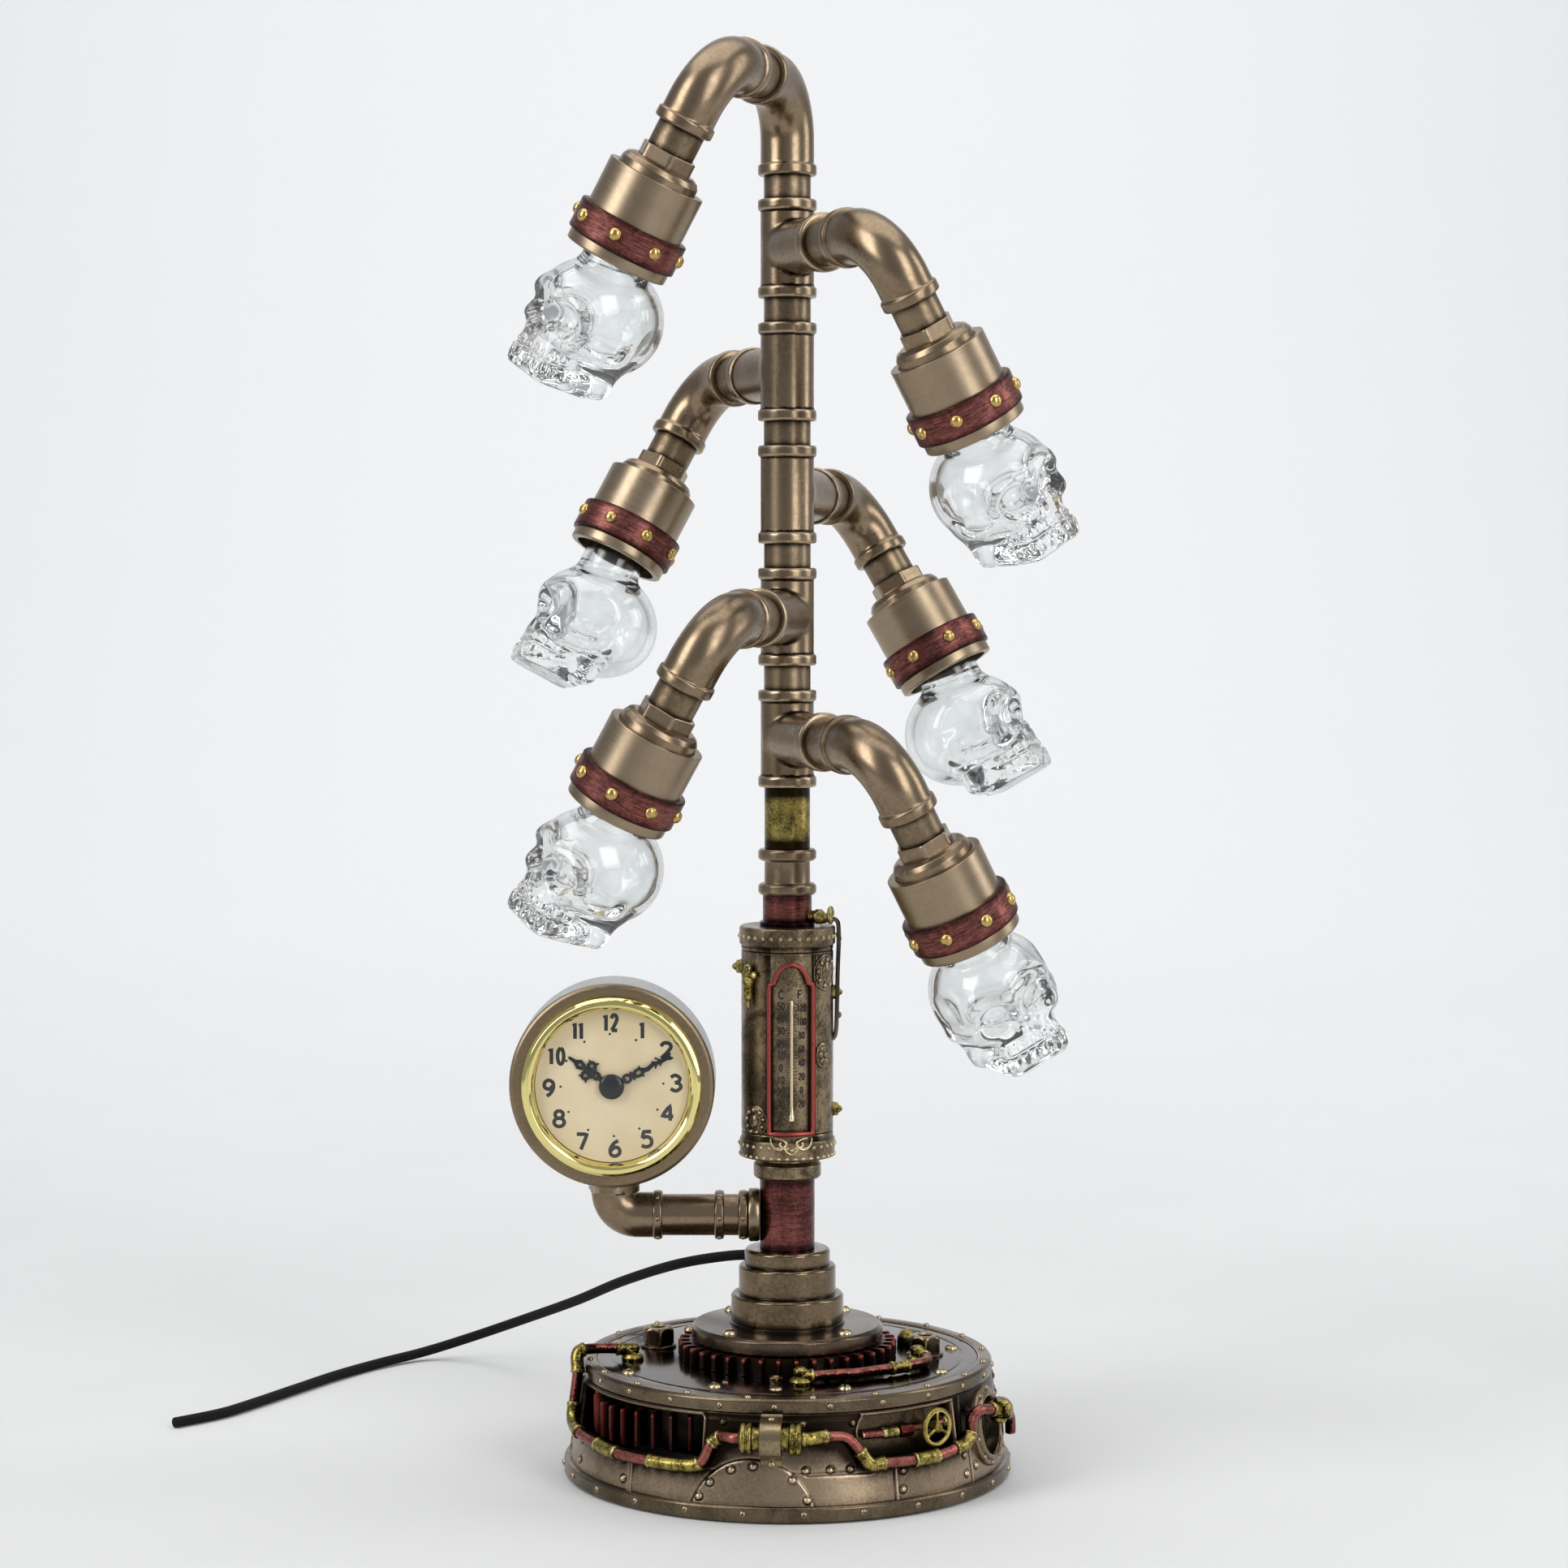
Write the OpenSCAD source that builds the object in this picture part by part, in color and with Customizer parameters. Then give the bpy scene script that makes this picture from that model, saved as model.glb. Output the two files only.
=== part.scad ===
// Pipe-fitting desk lamp: a column of tees carries six arms, each with a
// metal cup and a turning glass skull, and a side arm carries a small
// quartz clock. Millimetres, +Z up, origin on the floor under the column.

/* [Base] */
// Radius of the base over the lower hoop
base_r = 89; // [86:0.5:92]
// Height of the top of the base plate
plate_z = 45.5; // [44:0.5:46]
// Radius over the teeth of the gear under the flange
gear_r = 43.5; // [41:0.5:46]
// Teeth of the gear under the flange
gear_teeth = 38; // [32:1:46]

/* [Column] */
// Height of the lowest tee's branch axis
tee_z0 = 292; // [288:1:296]
// Pitch of the tees up the column
tee_pitch = 48; // [47:0.5:50]
// Radius of the pipe nipples
nipple_r = 9.2; // [8.5:0.1:9.4]
// Radius of the fittings' bodies
fit_r = 10.5; // [10:0.1:11]
// Radius of the beads round the fittings' mouths
bead_r = 11.5; // [11.2:0.1:12]

/* [Arms] */
// Column axis to the corner of the arm elbow
arm_l = 83.5; // [80:0.5:88]
// Turn of the elbows away from straight down, in degrees
arm_turn = 29; // [20:1:40]
// Radius of the lamp cups
cup_r = 19.1; // [18.5:0.1:20]
// Radius of the glass skulls' neck
neck_r = 12.5; // [12:0.1:13]

/* [Clock] */
// Radius of the clock case
case_r = 40.5; // [39:0.5:42]
// Radius of the bezel
bezel_r = 35; // [34:0.5:36]
// Distance of the clock from the column
clock_x = 69; // [66:0.5:72]
// Height of the clock's centre
clock_z = 156; // [155:0.5:159]

/* [Hidden] */
$fn = 64;

bronze = "#7a6446"; dark = "#3a2c25"; red = "#7d2f28"; brass = "#b08d3a"; gold = "#d8b24a";

// arms: branch height, azimuth, side of the elbow's turn, small trim of the turn, skull facing, skull slip
top_z = 547.5;
arm_z  = [top_z, tee_z0 + 4*tee_pitch, tee_z0 + 3*tee_pitch, tee_z0 + 2*tee_pitch, tee_z0 + tee_pitch, tee_z0];
arm_az = [252, 294, 113, 72, 252, 294];
arm_s  = [-1, 1, 1, -1, -1, 1];
arm_t  = [0, 0, 0.5, 1.5, 0.5, -1];
skull_a = [60, 100, 172, 0, 56, 84];
skull_d = [0, 0, 5, 2, 0, 0];
stud_a = [8.4, 7.2, 1.1, 35.3, 4.3, 1];

// pipe sizes
bore_r = 6.5;
fit_gap = 0.05;
bead_w = 4.4;
tee_half = 19.2;
branch_face = 36.4;
elbow_face = 53.3;
elbow_cf = arm_l - elbow_face;
elbow_rb = 20;
top_rb = 22;
drop_face = 28.6;
sock = 7;

// along the drop of an arm, from the elbow's corner
hex_0 = 40; hex_1 = 43.8; rim_h = 49.3; band_0 = 67.5; band_1 = 79.5; lip_h = 83.8;
cup_ri = cup_r - 1.8;

// places an arm's pieces: origin at the elbow's corner, -Z along the drop, -X back to the column
module arm(i) {
  translate([0, 0, arm_z[i]]) rotate([0, 0, arm_az[i]]) translate([arm_l, 0, 0])
    rotate([arm_s[i]*(arm_turn + arm_t[i]), 0, 0]) children();
}
// places a branch's pieces: +X along the branch from the column axis
module branch(i) { translate([0, 0, arm_z[i]]) rotate([0, 0, arm_az[i]]) children(); }

module ring(z0, z1, ro, ri) {
  difference() {
    translate([0, 0, z0]) cylinder(r = ro, h = z1 - z0);
    translate([0, 0, z0 - 1]) cylinder(r = ri, h = z1 - z0 + 2);
  }
}
module xcyl(x0, x1, r) { translate([x0, 0, 0]) rotate([0, 90, 0]) cylinder(r = r, h = x1 - x0); }
module drop_cyl(h0, h1, r) { translate([0, 0, -h1]) cylinder(r = r, h = h1 - h0); }
module drop_ring(h0, h1, ro, ri) { difference() { drop_cyl(h0, h1, ro); drop_cyl(h0 - 1, h1 + 1, ri); } }
// quarter bend in the XZ plane from -X to -Z
module bend(rb, r) {
  translate([-rb, 0, -rb]) rotate([90, 0, 0]) rotate_extrude(angle = 90) translate([rb, 0]) circle(r = r);
}
// a round bar between two points
module bar(p, q, r, e = 0) {
  v = q - p; l = norm(v);
  translate(p) rotate([0, acos(v[2]/l), atan2(v[1], v[0])]) translate([0, 0, e]) cylinder(r = r, h = l - 2*e, $fn = 24);
}
// a point on the base: azimuth right of the front, radius, height
function bp(a, r, z) = [r*sin(a), -r*cos(a), z];

/* ---------- base ---------- */
hoop_z = 6.5;
drum_r0 = base_r - 2.5; drum_r1 = base_r - 7.5; drum_top = 40;
module drum_body() {
  rotate_extrude($fn = 96) polygon([[drum_r0, 0.5], [drum_r0, hoop_z], [drum_r1, drum_top], [drum_r1 - 3, drum_top], [drum_r0 - 3, hoop_z], [drum_r0 - 3, 0.5]]);
}
// the drum's outside as a filled body, to seat pieces on it
module drum_fill() {
  rotate_extrude($fn = 96) polygon([[0, 0.5], [drum_r0 + 0.05, 0.5], [drum_r0 + 0.05, hoop_z], [drum_r1 + 0.05, drum_top], [0, drum_top]]);
}
function dr(z) = drum_r0 - (drum_r0 - drum_r1)*(z - hoop_z)/(drum_top - hoop_z);
function on(a, z, o = 3.4) = bp(a, dr(z) + o, z);
module wedge_window(a, w, z0, z1) {
  translate(bp(a, base_r - 16, (z0 + z1)/2)) rotate([0, 0, a]) cube([w, 40, z1 - z0], center = true);
}
module base_drum() {
  color(bronze) difference() {
    drum_body();
    wedge_window(-50, 76, 21, 38.5);
    wedge_window(34, 45, 22, 38.5);
    at_port() translate([0, 0, -20]) cylinder(r = 12.2, h = 60);
  }
}
module base_hoops() {
  color(bronze) { ring(0.5, hoop_z, base_r, drum_r0); ring(drum_top, 46, base_r - 7.5, base_r - 13); }
}
module base_top_plate() {
  color(dark) difference() {
    translate([0, 0, plate_z - 3]) cylinder(r = base_r - 13.1, h = 3);
    translate([0, 0, plate_z - 4]) cylinder(r = 8, h = 6);
    for (p = bolt_p) translate([p[0], p[1], plate_z - 4]) cylinder(r = 2.1, h = 6);
  }
}
module base_floor_plate() { color("#222222") translate([0, 0, 1.2]) cylinder(r = drum_r0 - 3.1, h = 2); }
module felt_pad() { color("#2b2b2b") cylinder(r = 80, h = 1.2, $fn = 96); }
module ballast_disc() {
  color("#444444") difference() {
    translate([0, 0, 3.2]) cylinder(r = 62, h = 14);
    translate([0, 0, 2]) cylinder(r = 12, h = 18);
  }
}
module toothed(r, n, h, depth) {
  union() {
    cylinder(r = r - depth, h = h);
    for (i = [0:n-1]) rotate([0, 0, i*360/n]) translate([r - depth - 0.6, 0, h/2]) cube([2*depth + 1.2, 1.8*r/n, h], center = true);
  }
}
module window_gear() {
  color(dark) translate(bp(-58, 43, 0)) difference() {
    translate([0, 0, 21.6]) toothed(38.5, 34, 13.9, 3.6);
    translate([0, 0, 20]) cylinder(r = 4, h = 20);
    for (z = [20, 31]) translate([0, 0, z]) cylinder(r = 29, h = 8);
  }
}
module neck_gear() {
  color(dark) difference() {
    translate([0, 0, plate_z]) toothed(gear_r, gear_teeth, 8, 3.5);
    translate([0, 0, plate_z - 1]) cylinder(r = 8, h = 12);
  }
}
flange_z = plate_z + 8; neck_z = 58.9;
module neck_flange() {
  color(bronze) difference() {
    translate([0, 0, flange_z]) cylinder(r = 37.3, h = neck_z - flange_z);
    translate([0, 0, flange_z - 1]) cylinder(r = 8, h = 10);
    for (a = [15:60:345]) rotate([0, 0, a]) translate([31, 0, flange_z - 1]) cylinder(r = 1.6, h = 10);
  }
}
module stepped_neck() {
  color(bronze) difference() {
    rotate_extrude() polygon([[8, neck_z], [22, neck_z], [22, 72.3], [18.7, 72.3], [18.7, 83.4], [16.6, 83.4], [16.6, 91.2], [8, 91.2]]);
    translate([gland_x, 0, gland_z]) rotate([-90, 0, 0]) cylinder(r = 3.5, h = 30);
  }
}
bolt_p = [[-52, 16], [55, 0]];
module base_screws() {
  color(bronze) {
    for (a = [15:60:345]) rotate([0, 0, a]) translate([31, 0, 0]) difference() {
      union() { translate([0, 0, neck_z]) cylinder(r = 2.7, h = 1.6, $fn = 32); translate([0, 0, flange_z + 0.5]) cylinder(r = 1.55, h = neck_z - flange_z); }
      translate([0, 0, neck_z + 1.6]) cube([6, 0.8, 1.4], center = true);
    }
    for (p = bolt_p) translate([p[0], p[1], 0]) {
      translate([0, 0, plate_z]) cylinder(r = 7.2, h = 1.2);
      difference() {
        translate([0, 0, plate_z + 1.2]) cylinder(r = 6.6, h = 6.8, $fn = 6);
        translate([0, 0, plate_z + 5.2]) cylinder(r = 2.7, h = 4);
      }
      translate([0, 0, plate_z - 5]) cylinder(r = 2.05, h = 5);
    }
  }
}
module rivet(r, h) { cylinder(r1 = r, r2 = 0.55*r, h = h, $fn = 24); }
module casting_rivets() {
  color(bronze) {
    for (i = [0:23]) rotate([0, 0, i*15 + 4]) translate([base_r + 0.02, 0, 4.4]) rotate([0, 90, 0]) rivet(1.4, 0.9);
    for (i = [0:19]) rotate([0, 0, i*18 + 7]) translate([base_r - 10.2, 0, 46]) rivet(1.4, 0.9);
    for (i = [0:22]) rotate([0, 0, i*15]) translate([19.03, 0, 214.2]) rotate([0, 90, 0]) rivet(1, 0.7);
    for (i = [0:23]) rotate([0, 0, i*15]) translate([18.93, 0, 130]) rotate([0, 90, 0]) rivet(1, 0.7);
  }
}
// pipe runs round the drum: points, then the kind of each length (0 copper, 1 brass)
run_a = [[-61.4, -8.6, 49], [-68, -9.5, 50.2], [-80, -13.5, 50.6], on(-80, 48.6, 4), on(-78, 42), on(-77, 31), on(-75, 24.5),
         on(-68, 22), on(-57, 21), on(-48, 20), on(-37, 20), on(-27, 20.3), on(-22, 22), on(-19.5, 29), on(-17, 32), on(-13.4, 32.6, 6.4)];
kind_a = [1, 0, 1, 1, 0, 1, 1, 0, 1, 0, 1, 1, 0, 1, 0];
run_b = [on(5.4, 32.8, 6.4), on(10, 33, 4.5), on(15, 32), on(18.2, 27), on(21, 21.6), on(25, 21.4), on(33, 21),
         on(41, 21), on(47, 22), on(52, 23), on(54.5, 26.5), on(54.8, 31, 4), on(57.5, 34, 5.5), on(62.5, 33, 6.6), on(67, 31.5, 7.4), on(71.5, 29.5, 7.6), on(75, 25.5, 7), on(76, 19.5, 6)];
kind_b = [1, 0, 0, 1, 1, 0, 1, 0, 1, 1, 0, 0, 0, 1, 1, 0, 0];
run_c = [[5, -52, 49], [10, -51, 48.4], [18, -48, 48.3], [27, -46, 48.3], [34, -41.5, 48.3], [40, -38.5, 48.4], [47, -33.5, 48.4], [54, -26, 48.4], [54.5, -18, 48.4], [51.5, -13, 49]];
kind_c = [1, 0, 0, 0, 0, 1, 0, 0, 1];
// the bars of a run are mitred where it bends; its ends stop short of a cap by a and b
module facing(p, d) { translate(p) rotate([0, acos(d[2]), atan2(d[1], d[0])]) children(); }
module mitre_bar(pts, i, r, a, b) {
  n = len(pts) - 1;
  v = unit(pts[i+1] - pts[i]);
  difference() {
    bar(pts[i] + (i == 0 ? a : -1.6)*v, pts[i+1] + (i == n - 1 ? -b : 1.6)*v, r);
    if (i > 0) facing(pts[i], -unit(v + unit(pts[i] - pts[i-1]))) translate([-6, -6, -0.02]) cube([12, 12, 6]);
    if (i < n - 1) facing(pts[i+1], unit(v + unit(pts[i+2] - pts[i+1]))) translate([-6, -6, -0.02]) cube([12, 12, 6]);
  }
}
module run_of(pts, kind, which, r, a, b) { for (i = [0:len(kind)-1]) if (kind[i] == which) mitre_bar(pts, i, r, a, b); }
module base_copper_pipes() { color(red) { run_of(run_a, kind_a, 0, 2.1, 4.2, 0); run_of(run_b, kind_b, 0, 2.1, 0, 0); run_of(run_c, kind_c, 0, 2.0, 4.2, 4.2); } }
module base_brass_fittings() {
  color(brass) {
    run_of(run_a, kind_a, 1, 2.7, 4.2, 0); run_of(run_b, kind_b, 1, 2.7, 0, 0); run_of(run_c, kind_c, 1, 2.5, 4.2, 4.2);
    for (p = [[-61.4, -8.6], [5, -52], [51.5, -13]]) translate([p[0], p[1], plate_z]) { cylinder(r = 3.7, h = 3.1); translate([0, 0, 3.1]) cylinder(r = 3.1, h = 3.2); }
    translate([49, 20, plate_z]) { cylinder(r = 4, h = 3); translate([0, 0, 3]) cylinder(r = 2.6, h = 3); }
  }
}
module brass_canister() {
  color(brass) translate(on(-4, 32.7, 6.4)) rotate([0, 0, -4]) {
    xcyl(-12.4, 12, 4.6);
    xcyl(-11, -7.5, 6.2); xcyl(7.5, 11, 6.2);
  }
}
// hand wheel of the lamp's rotary dimmer, turning on its own spindle
wheel_a = 42; wheel_r0 = 82.4; wheel_z = 31.3;
module at_wheel() { translate(bp(wheel_a, wheel_r0, wheel_z)) rotate([90, 0, wheel_a]) children(); }
module handwheel() {
  color(brass) at_wheel() difference() {
    union() {
      rotate_extrude() translate([6.7, 3.2]) circle(r = 0.9, $fn = 24);
      cylinder(r = 2.0, h = 5);
      for (a = [90:120:330]) rotate([0, 0, a]) translate([0, 0, 3.2]) xcyl(1, 6.5, 0.7);
      translate([0, 0, -14]) cylinder(r = 1.4, h = 15);
    }
    translate([0, 0, 4.4]) cylinder(r = 0.8, h = 2);
  }
}
// curved plate behind the right window, which carries the wheel's spindle
module handwheel_bracket() {
  color(brass) difference() {
    intersection() {
      ring(20.5, 39.8, 78.3, 76.3);
      translate(bp(34, 76, 30)) rotate([0, 0, 34]) cube([50, 30, 30], center = true);
    }
    at_wheel() translate([0, 0, -16]) cylinder(r = 1.45, h = 20);
  }
}
port_a = 68.5; port_z = 24.3;
module at_port() { translate(bp(port_a, dr(port_z), port_z)) rotate([81.5, 0, port_a]) children(); }
module porthole_frame() {
  color(bronze) {
    difference() {
      at_port() translate([0, 0, -4]) cylinder(r = 15.6, h = 6.4);
      drum_fill();
      at_port() translate([0, 0, -9]) cylinder(r = 11.5, h = 20);
    }
    difference() {
      at_port() translate([0, 0, -6]) cylinder(r = 12.1, h = 8.4);
      at_port() translate([0, 0, -4.4]) cylinder(r = 11, h = 20);
    }
  }
}
module dimmer_switch() {
  color("#303030") at_wheel() difference() {
    translate([-8, -5.5, -22]) cube([16, 11, 14]);
    translate([0, 0, -14.3]) cylinder(r = 1.45, h = 10);
  }
}
module led_driver() { color("#e8e8e4") translate([-48, 18, 17.2]) cube([42, 34, 18]); }
gland_x = -4; gland_z = 77.5;
module cord_gland() {
  color("#1b1b1b") translate([gland_x, 0, gland_z]) rotate([-90, 0, 0]) difference() {
    union() { translate([0, 0, 12]) cylinder(r = 3.45, h = 8); translate([0, 0, 18.8]) cylinder(r = 4.6, h = 3); translate([0, 0, 21.8]) cylinder(r1 = 4.2, r2 = 3.2, h = 8); }
    translate([0, 0, 10]) cylinder(r = 2.65, h = 30);
  }
}
// the cord: leaves the gland to the rear, sinks to the floor and lies to the left
cord_r = 2.2;
cord_p = [[-4, 15, 77.5], [-4, 26, 77.5], [-4.5, 35, 77.4], [-10, 46, 76.8], [-24, 60, 74], [-46, 78, 67], [-70, 108, 54], [-92, 140, 39],
  [-116, 172, 24.5], [-142, 194, 11.5], [-164, 196, 4.2], [-183, 180, 2.4], [-199, 156, 2.4], [-213, 130, 2.4], [-230, 98, 2.4], [-240, 82, 2.4], [-256, 66, 2.4]];
function unit(v) = v/norm(v);
// smooth line through the points, n steps to each stretch
function cr(a, b, c, d, t) = 0.5*(2*b + (c - a)*t + (2*a - 5*b + 4*c - d)*t*t + (3*b - a - 3*c + d)*t*t*t);
function smooth(p, n) = concat([for (i = [0:len(p)-2]) for (k = [0:n-1]) cr(p[max(i-1, 0)], p[i], p[i+1], p[min(i+2, len(p)-1)], k/n)], [p[len(p)-1]]);
function tang(p, i) = unit(p[min(i + 1, len(p) - 1)] - p[max(i - 1, 0)]);
function side(t) = unit(cross(t, [0, 0, 1]));
module sweep(p, r, n) {
  m = len(p);
  pts = [for (i = [0:m-1]) let (t = tang(p, i), s = side(t), u = cross(s, t)) for (k = [0:n-1]) p[i] + r*(cos(k*360/n)*s + sin(k*360/n)*u)];
  faces = concat([[for (k = [0:n-1]) k]], [for (i = [0:m-2]) for (k = [0:n-1]) [i*n + k, (i+1)*n + k, (i+1)*n + (k+1)%n, i*n + (k+1)%n]], [[for (k = [n-1:-1:0]) (m-1)*n + k]]);
  polyhedron(points = pts, faces = faces, convexity = 6);
}
module power_cord() { color("#151515") sweep(smooth(cord_p, 3), cord_r, 10); }
// insulated wires up the column and out to each lamp
module wire_harness() {
  color("#c9c4b8") union() {
    translate([0, 0, 20]) cylinder(r = 2.4, h = top_z - top_rb - 19.5);
    branch(0) mirror([1, 0, 0]) bend(top_rb, 1.3);
    for (i = [0:5]) {
      branch(i) xcyl(i == 0 ? top_rb : 0, arm_l - elbow_rb, 1.3);
      arm(i) { bend(elbow_rb, 1.3); drop_cyl(elbow_rb, 53.8, 1.3); }
    }
  }
}

/* ---------- column ---------- */
module lower_copper_sleeve() { color(red) ring(91.2, 117.3, 10.9, bore_r); }
module barrel_caps() {
  color(bronze) {
    union() { ring(117.3, 123.8, 13.4, bore_r); ring(123.8, 126.2, 11, bore_r); ring(126.2, 133.6, 18.9, 18.25); ring(126.2, 128.4, 18.9, bore_r); }
    union() { ring(210.6, 217.7, 19, 18.25); ring(215.6, 217.7, 19, bore_r); }
  }
}
thermo_a = 6;
module at_thermo() { rotate([0, 0, thermo_a]) children(); }
module thermometer_barrel() {
  color(bronze) difference() {
    ring(128.4, 215.6, 18.2, 15);
    at_thermo() { translate([0, -18, 169]) cube([15.6, 6, 64], center = true); translate([0, -10, 201]) rotate([90, 0, 0]) cylinder(r = 7.8, h = 12); }
  }
}
module arch(w, z0, z1) { translate([-w/2, z0]) square([w, z1 - z0]); translate([0, z1]) circle(r = w/2, $fn = 48); }
module thermometer_plate() {
  color(dark) at_thermo() translate([0, -15.2, 0]) rotate([90, 0, 0]) linear_extrude(0.9) arch(15.2, 137.3, 201);
}
module thermometer_frame() {
  color(red) at_thermo() translate([0, -16.3, 0]) rotate([90, 0, 0]) linear_extrude(2.1) difference() { arch(15.2, 137.4, 201); arch(12, 139, 201); }
}
module thermometer_tube() {
  color(gold) at_thermo() translate([0, -17.1, 142]) { cylinder(r = 0.6, h = 52, $fn = 24); sphere(r = 0.9, $fn = 24); }
}
module barrel_fittings() {
  color(brass) at_thermo() {
    // hinge latch, upper left
    rotate([0, 0, -52]) translate([0, -20.2, 197]) { cylinder(r = 1.3, h = 12, center = true, $fn = 24); translate([0, 0, 5]) sphere(r = 1.9, $fn = 24); }
    // strap and eye down the right side
    rotate([0, 0, 66]) { translate([-1.9, -21, 202]) cube([3.8, 1.9, 22]); translate([-2, -18.1, 221]) rotate([0, 90, 0]) cylinder(r = 3, h = 4, $fn = 32); }
    for (z = [146, 191]) rotate([0, 0, 78]) translate([0, -19.1, z]) rotate([90, 0, 0]) { cylinder(r = 2.2, h = 1.6, $fn = 6); cylinder(r = 1.1, h = 3, $fn = 24); }
    rotate([0, 0, -78]) translate([0, -19.1, 200]) rotate([90, 0, 0]) { cylinder(r = 2.2, h = 1.6, $fn = 6); cylinder(r = 1.1, h = 3, $fn = 24); }
  }
}
module upper_copper_sleeve() { color(red) union() { ring(217.7, 219.6, 10.9, bore_r); ring(219.6, 230.2, 9.7, bore_r); } }
module lower_coupling() { color(bronze) union() { ring(230.2, 234.7, bead_r, bore_r); ring(234.7, 243.7, 9, bore_r); ring(243.7, 248.3, bead_r, bore_r); } }
module brass_nipple() { color(brass) ring(248.3, tee_z0 - tee_half, 9, bore_r - 0.5); }
module pipe_nipples() {
  color(bronze) {
    for (k = [0:4]) {
      z0 = tee_z0 + k*tee_pitch + tee_half - sock;
      z1 = (k < 4 ? tee_z0 + (k+1)*tee_pitch - tee_half : top_z - 35.1) + sock;
      ring(z0, z1, nipple_r, bore_r - 1);
    }
    for (i = [0:5]) branch(i) difference() { xcyl(branch_face - sock, elbow_face + sock, nipple_r); xcyl(0, arm_l, bore_r - 1); }
    for (i = [0:5]) arm(i) drop_ring(drop_face - sock, hex_0, nipple_r, bore_r - 1);
  }
}
module tee() {
  difference() {
    union() {
      translate([0, 0, -tee_half]) cylinder(r = fit_r, h = 2*tee_half);
      for (z = [-tee_half, tee_half - bead_w]) translate([0, 0, z]) cylinder(r = bead_r, h = bead_w);
      xcyl(0, branch_face, fit_r); xcyl(branch_face - bead_w, branch_face, bead_r);
    }
    translate([0, 0, -30]) cylinder(r = bore_r, h = 60);
    for (z = [-30, tee_half - sock]) translate([0, 0, z]) cylinder(r = nipple_r + fit_gap, h = 30 - tee_half + sock);
    xcyl(0, 50, bore_r); xcyl(branch_face - sock, 50, nipple_r + fit_gap);
  }
}
module column_tees() {
  color(bronze) for (i = [1:5]) branch(i) if (i == 5) lowest_tee(); else tee();
}
module lowest_tee() {
  difference() {
    union() {
      translate([0, 0, -tee_half]) cylinder(r = fit_r, h = 2*tee_half);
      for (z = [-tee_half, tee_half - bead_w]) translate([0, 0, z]) cylinder(r = bead_r, h = bead_w);
      xcyl(0, branch_face, fit_r); xcyl(branch_face - bead_w, branch_face, bead_r);
    }
    translate([0, 0, -30]) cylinder(r = bore_r, h = 60);
    translate([0, 0, tee_half - sock]) cylinder(r = nipple_r + fit_gap, h = 30);
    xcyl(0, 50, bore_r); xcyl(branch_face - sock, 50, nipple_r + fit_gap);
  }
}
// elbow with its legs along -X (length a) and -Z (length b)
module elbow(a, b, rb) {
  difference() {
    union() {
      bend(rb, fit_r);
      xcyl(-a, -rb, fit_r); translate([0, 0, -b]) cylinder(r = fit_r, h = b - rb);
      xcyl(-a, -a + bead_w, bead_r); translate([0, 0, -b]) cylinder(r = bead_r, h = bead_w);
    }
    bend(rb, bore_r);
    xcyl(-a - 1, -rb, bore_r); translate([0, 0, -b - 1]) cylinder(r = bore_r, h = b - rb + 1);
    xcyl(-a - 1, -a + sock, nipple_r + fit_gap); translate([0, 0, -b - 1]) cylinder(r = nipple_r + fit_gap, h = sock + 1);
  }
}
module top_elbow() { color(bronze) branch(0) mirror([1, 0, 0]) elbow(branch_face, 35.1, top_rb); }

/* ---------- arms ---------- */
module arm_elbows() { color(bronze) for (i = [0:5]) arm(i) elbow(elbow_cf, drop_face, elbow_rb); }
module hex_bushings() {
  color(bronze) {
    for (i = [0:5]) arm(i) difference() {
      union() {
        translate([0, 0, -hex_1]) rotate([0, 0, 12]) cylinder(r = 10.6, h = hex_1 - hex_0, $fn = 6);
        rotate_extrude() polygon([[0, -hex_1], [12.4, -hex_1], [14.4, -hex_1 - 1], [15.6, -hex_1 - 3], [15.8, -rim_h - 0.6], [cup_ri - 0.05, -rim_h - 0.6], [cup_ri - 0.05, -rim_h - 2.6], [0, -rim_h - 2.6]]);
      }
      drop_cyl(hex_0 - 1, rim_h + 4, 3);
    }
    // nut under the clock
    difference() {
      translate([-clock_x, 0, pipe_z + pipe_rb]) cylinder(r = 10.6, h = 7, $fn = 6);
      translate([-clock_x, 0, 100]) cylinder(r = 4.2, h = 30);
      at_clock() translate([0, 0, -30]) cylinder(r = case_r + 0.05, h = 60);
    }
  }
}
module lamp_cups() {
  color(bronze) for (i = [0:5]) arm(i) difference() {
    union() { drop_cyl(rim_h, lip_h, cup_r); drop_cyl(band_1, lip_h, cup_r + 1.1); }
    drop_cyl(rim_h - 1, lip_h + 1, cup_ri);
  }
}
module cup_bands() { color(red) for (i = [0:5]) arm(i) drop_ring(band_0, band_1, 21.6, cup_r + 0.05); }
module band_studs() {
  color(gold) for (i = [0:5]) arm(i) for (k = [0:7]) rotate([0, 0, k*45 + stud_a[i]]) translate([21.6, 0, -(band_0 + band_1)/2 + 0.4]) difference() {
    sphere(r = 2.4, $fn = 24);
    translate([-21.6, 0, -4]) cylinder(r = 21.6, h = 8);
  }
}
module led_modules() {
  color("#f4f2e8") for (i = [0:5]) arm(i) union() { drop_cyl(rim_h + 4.6, rim_h + 8, 16.8); drop_cyl(rim_h + 8, rim_h + 13, 7.5); }
}
module skull_grips() { color("#26221f") for (i = [0:5]) arm(i) drop_ring(rim_h + 15.5, rim_h + 22.5, cup_ri, neck_r + 0.05); }
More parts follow.
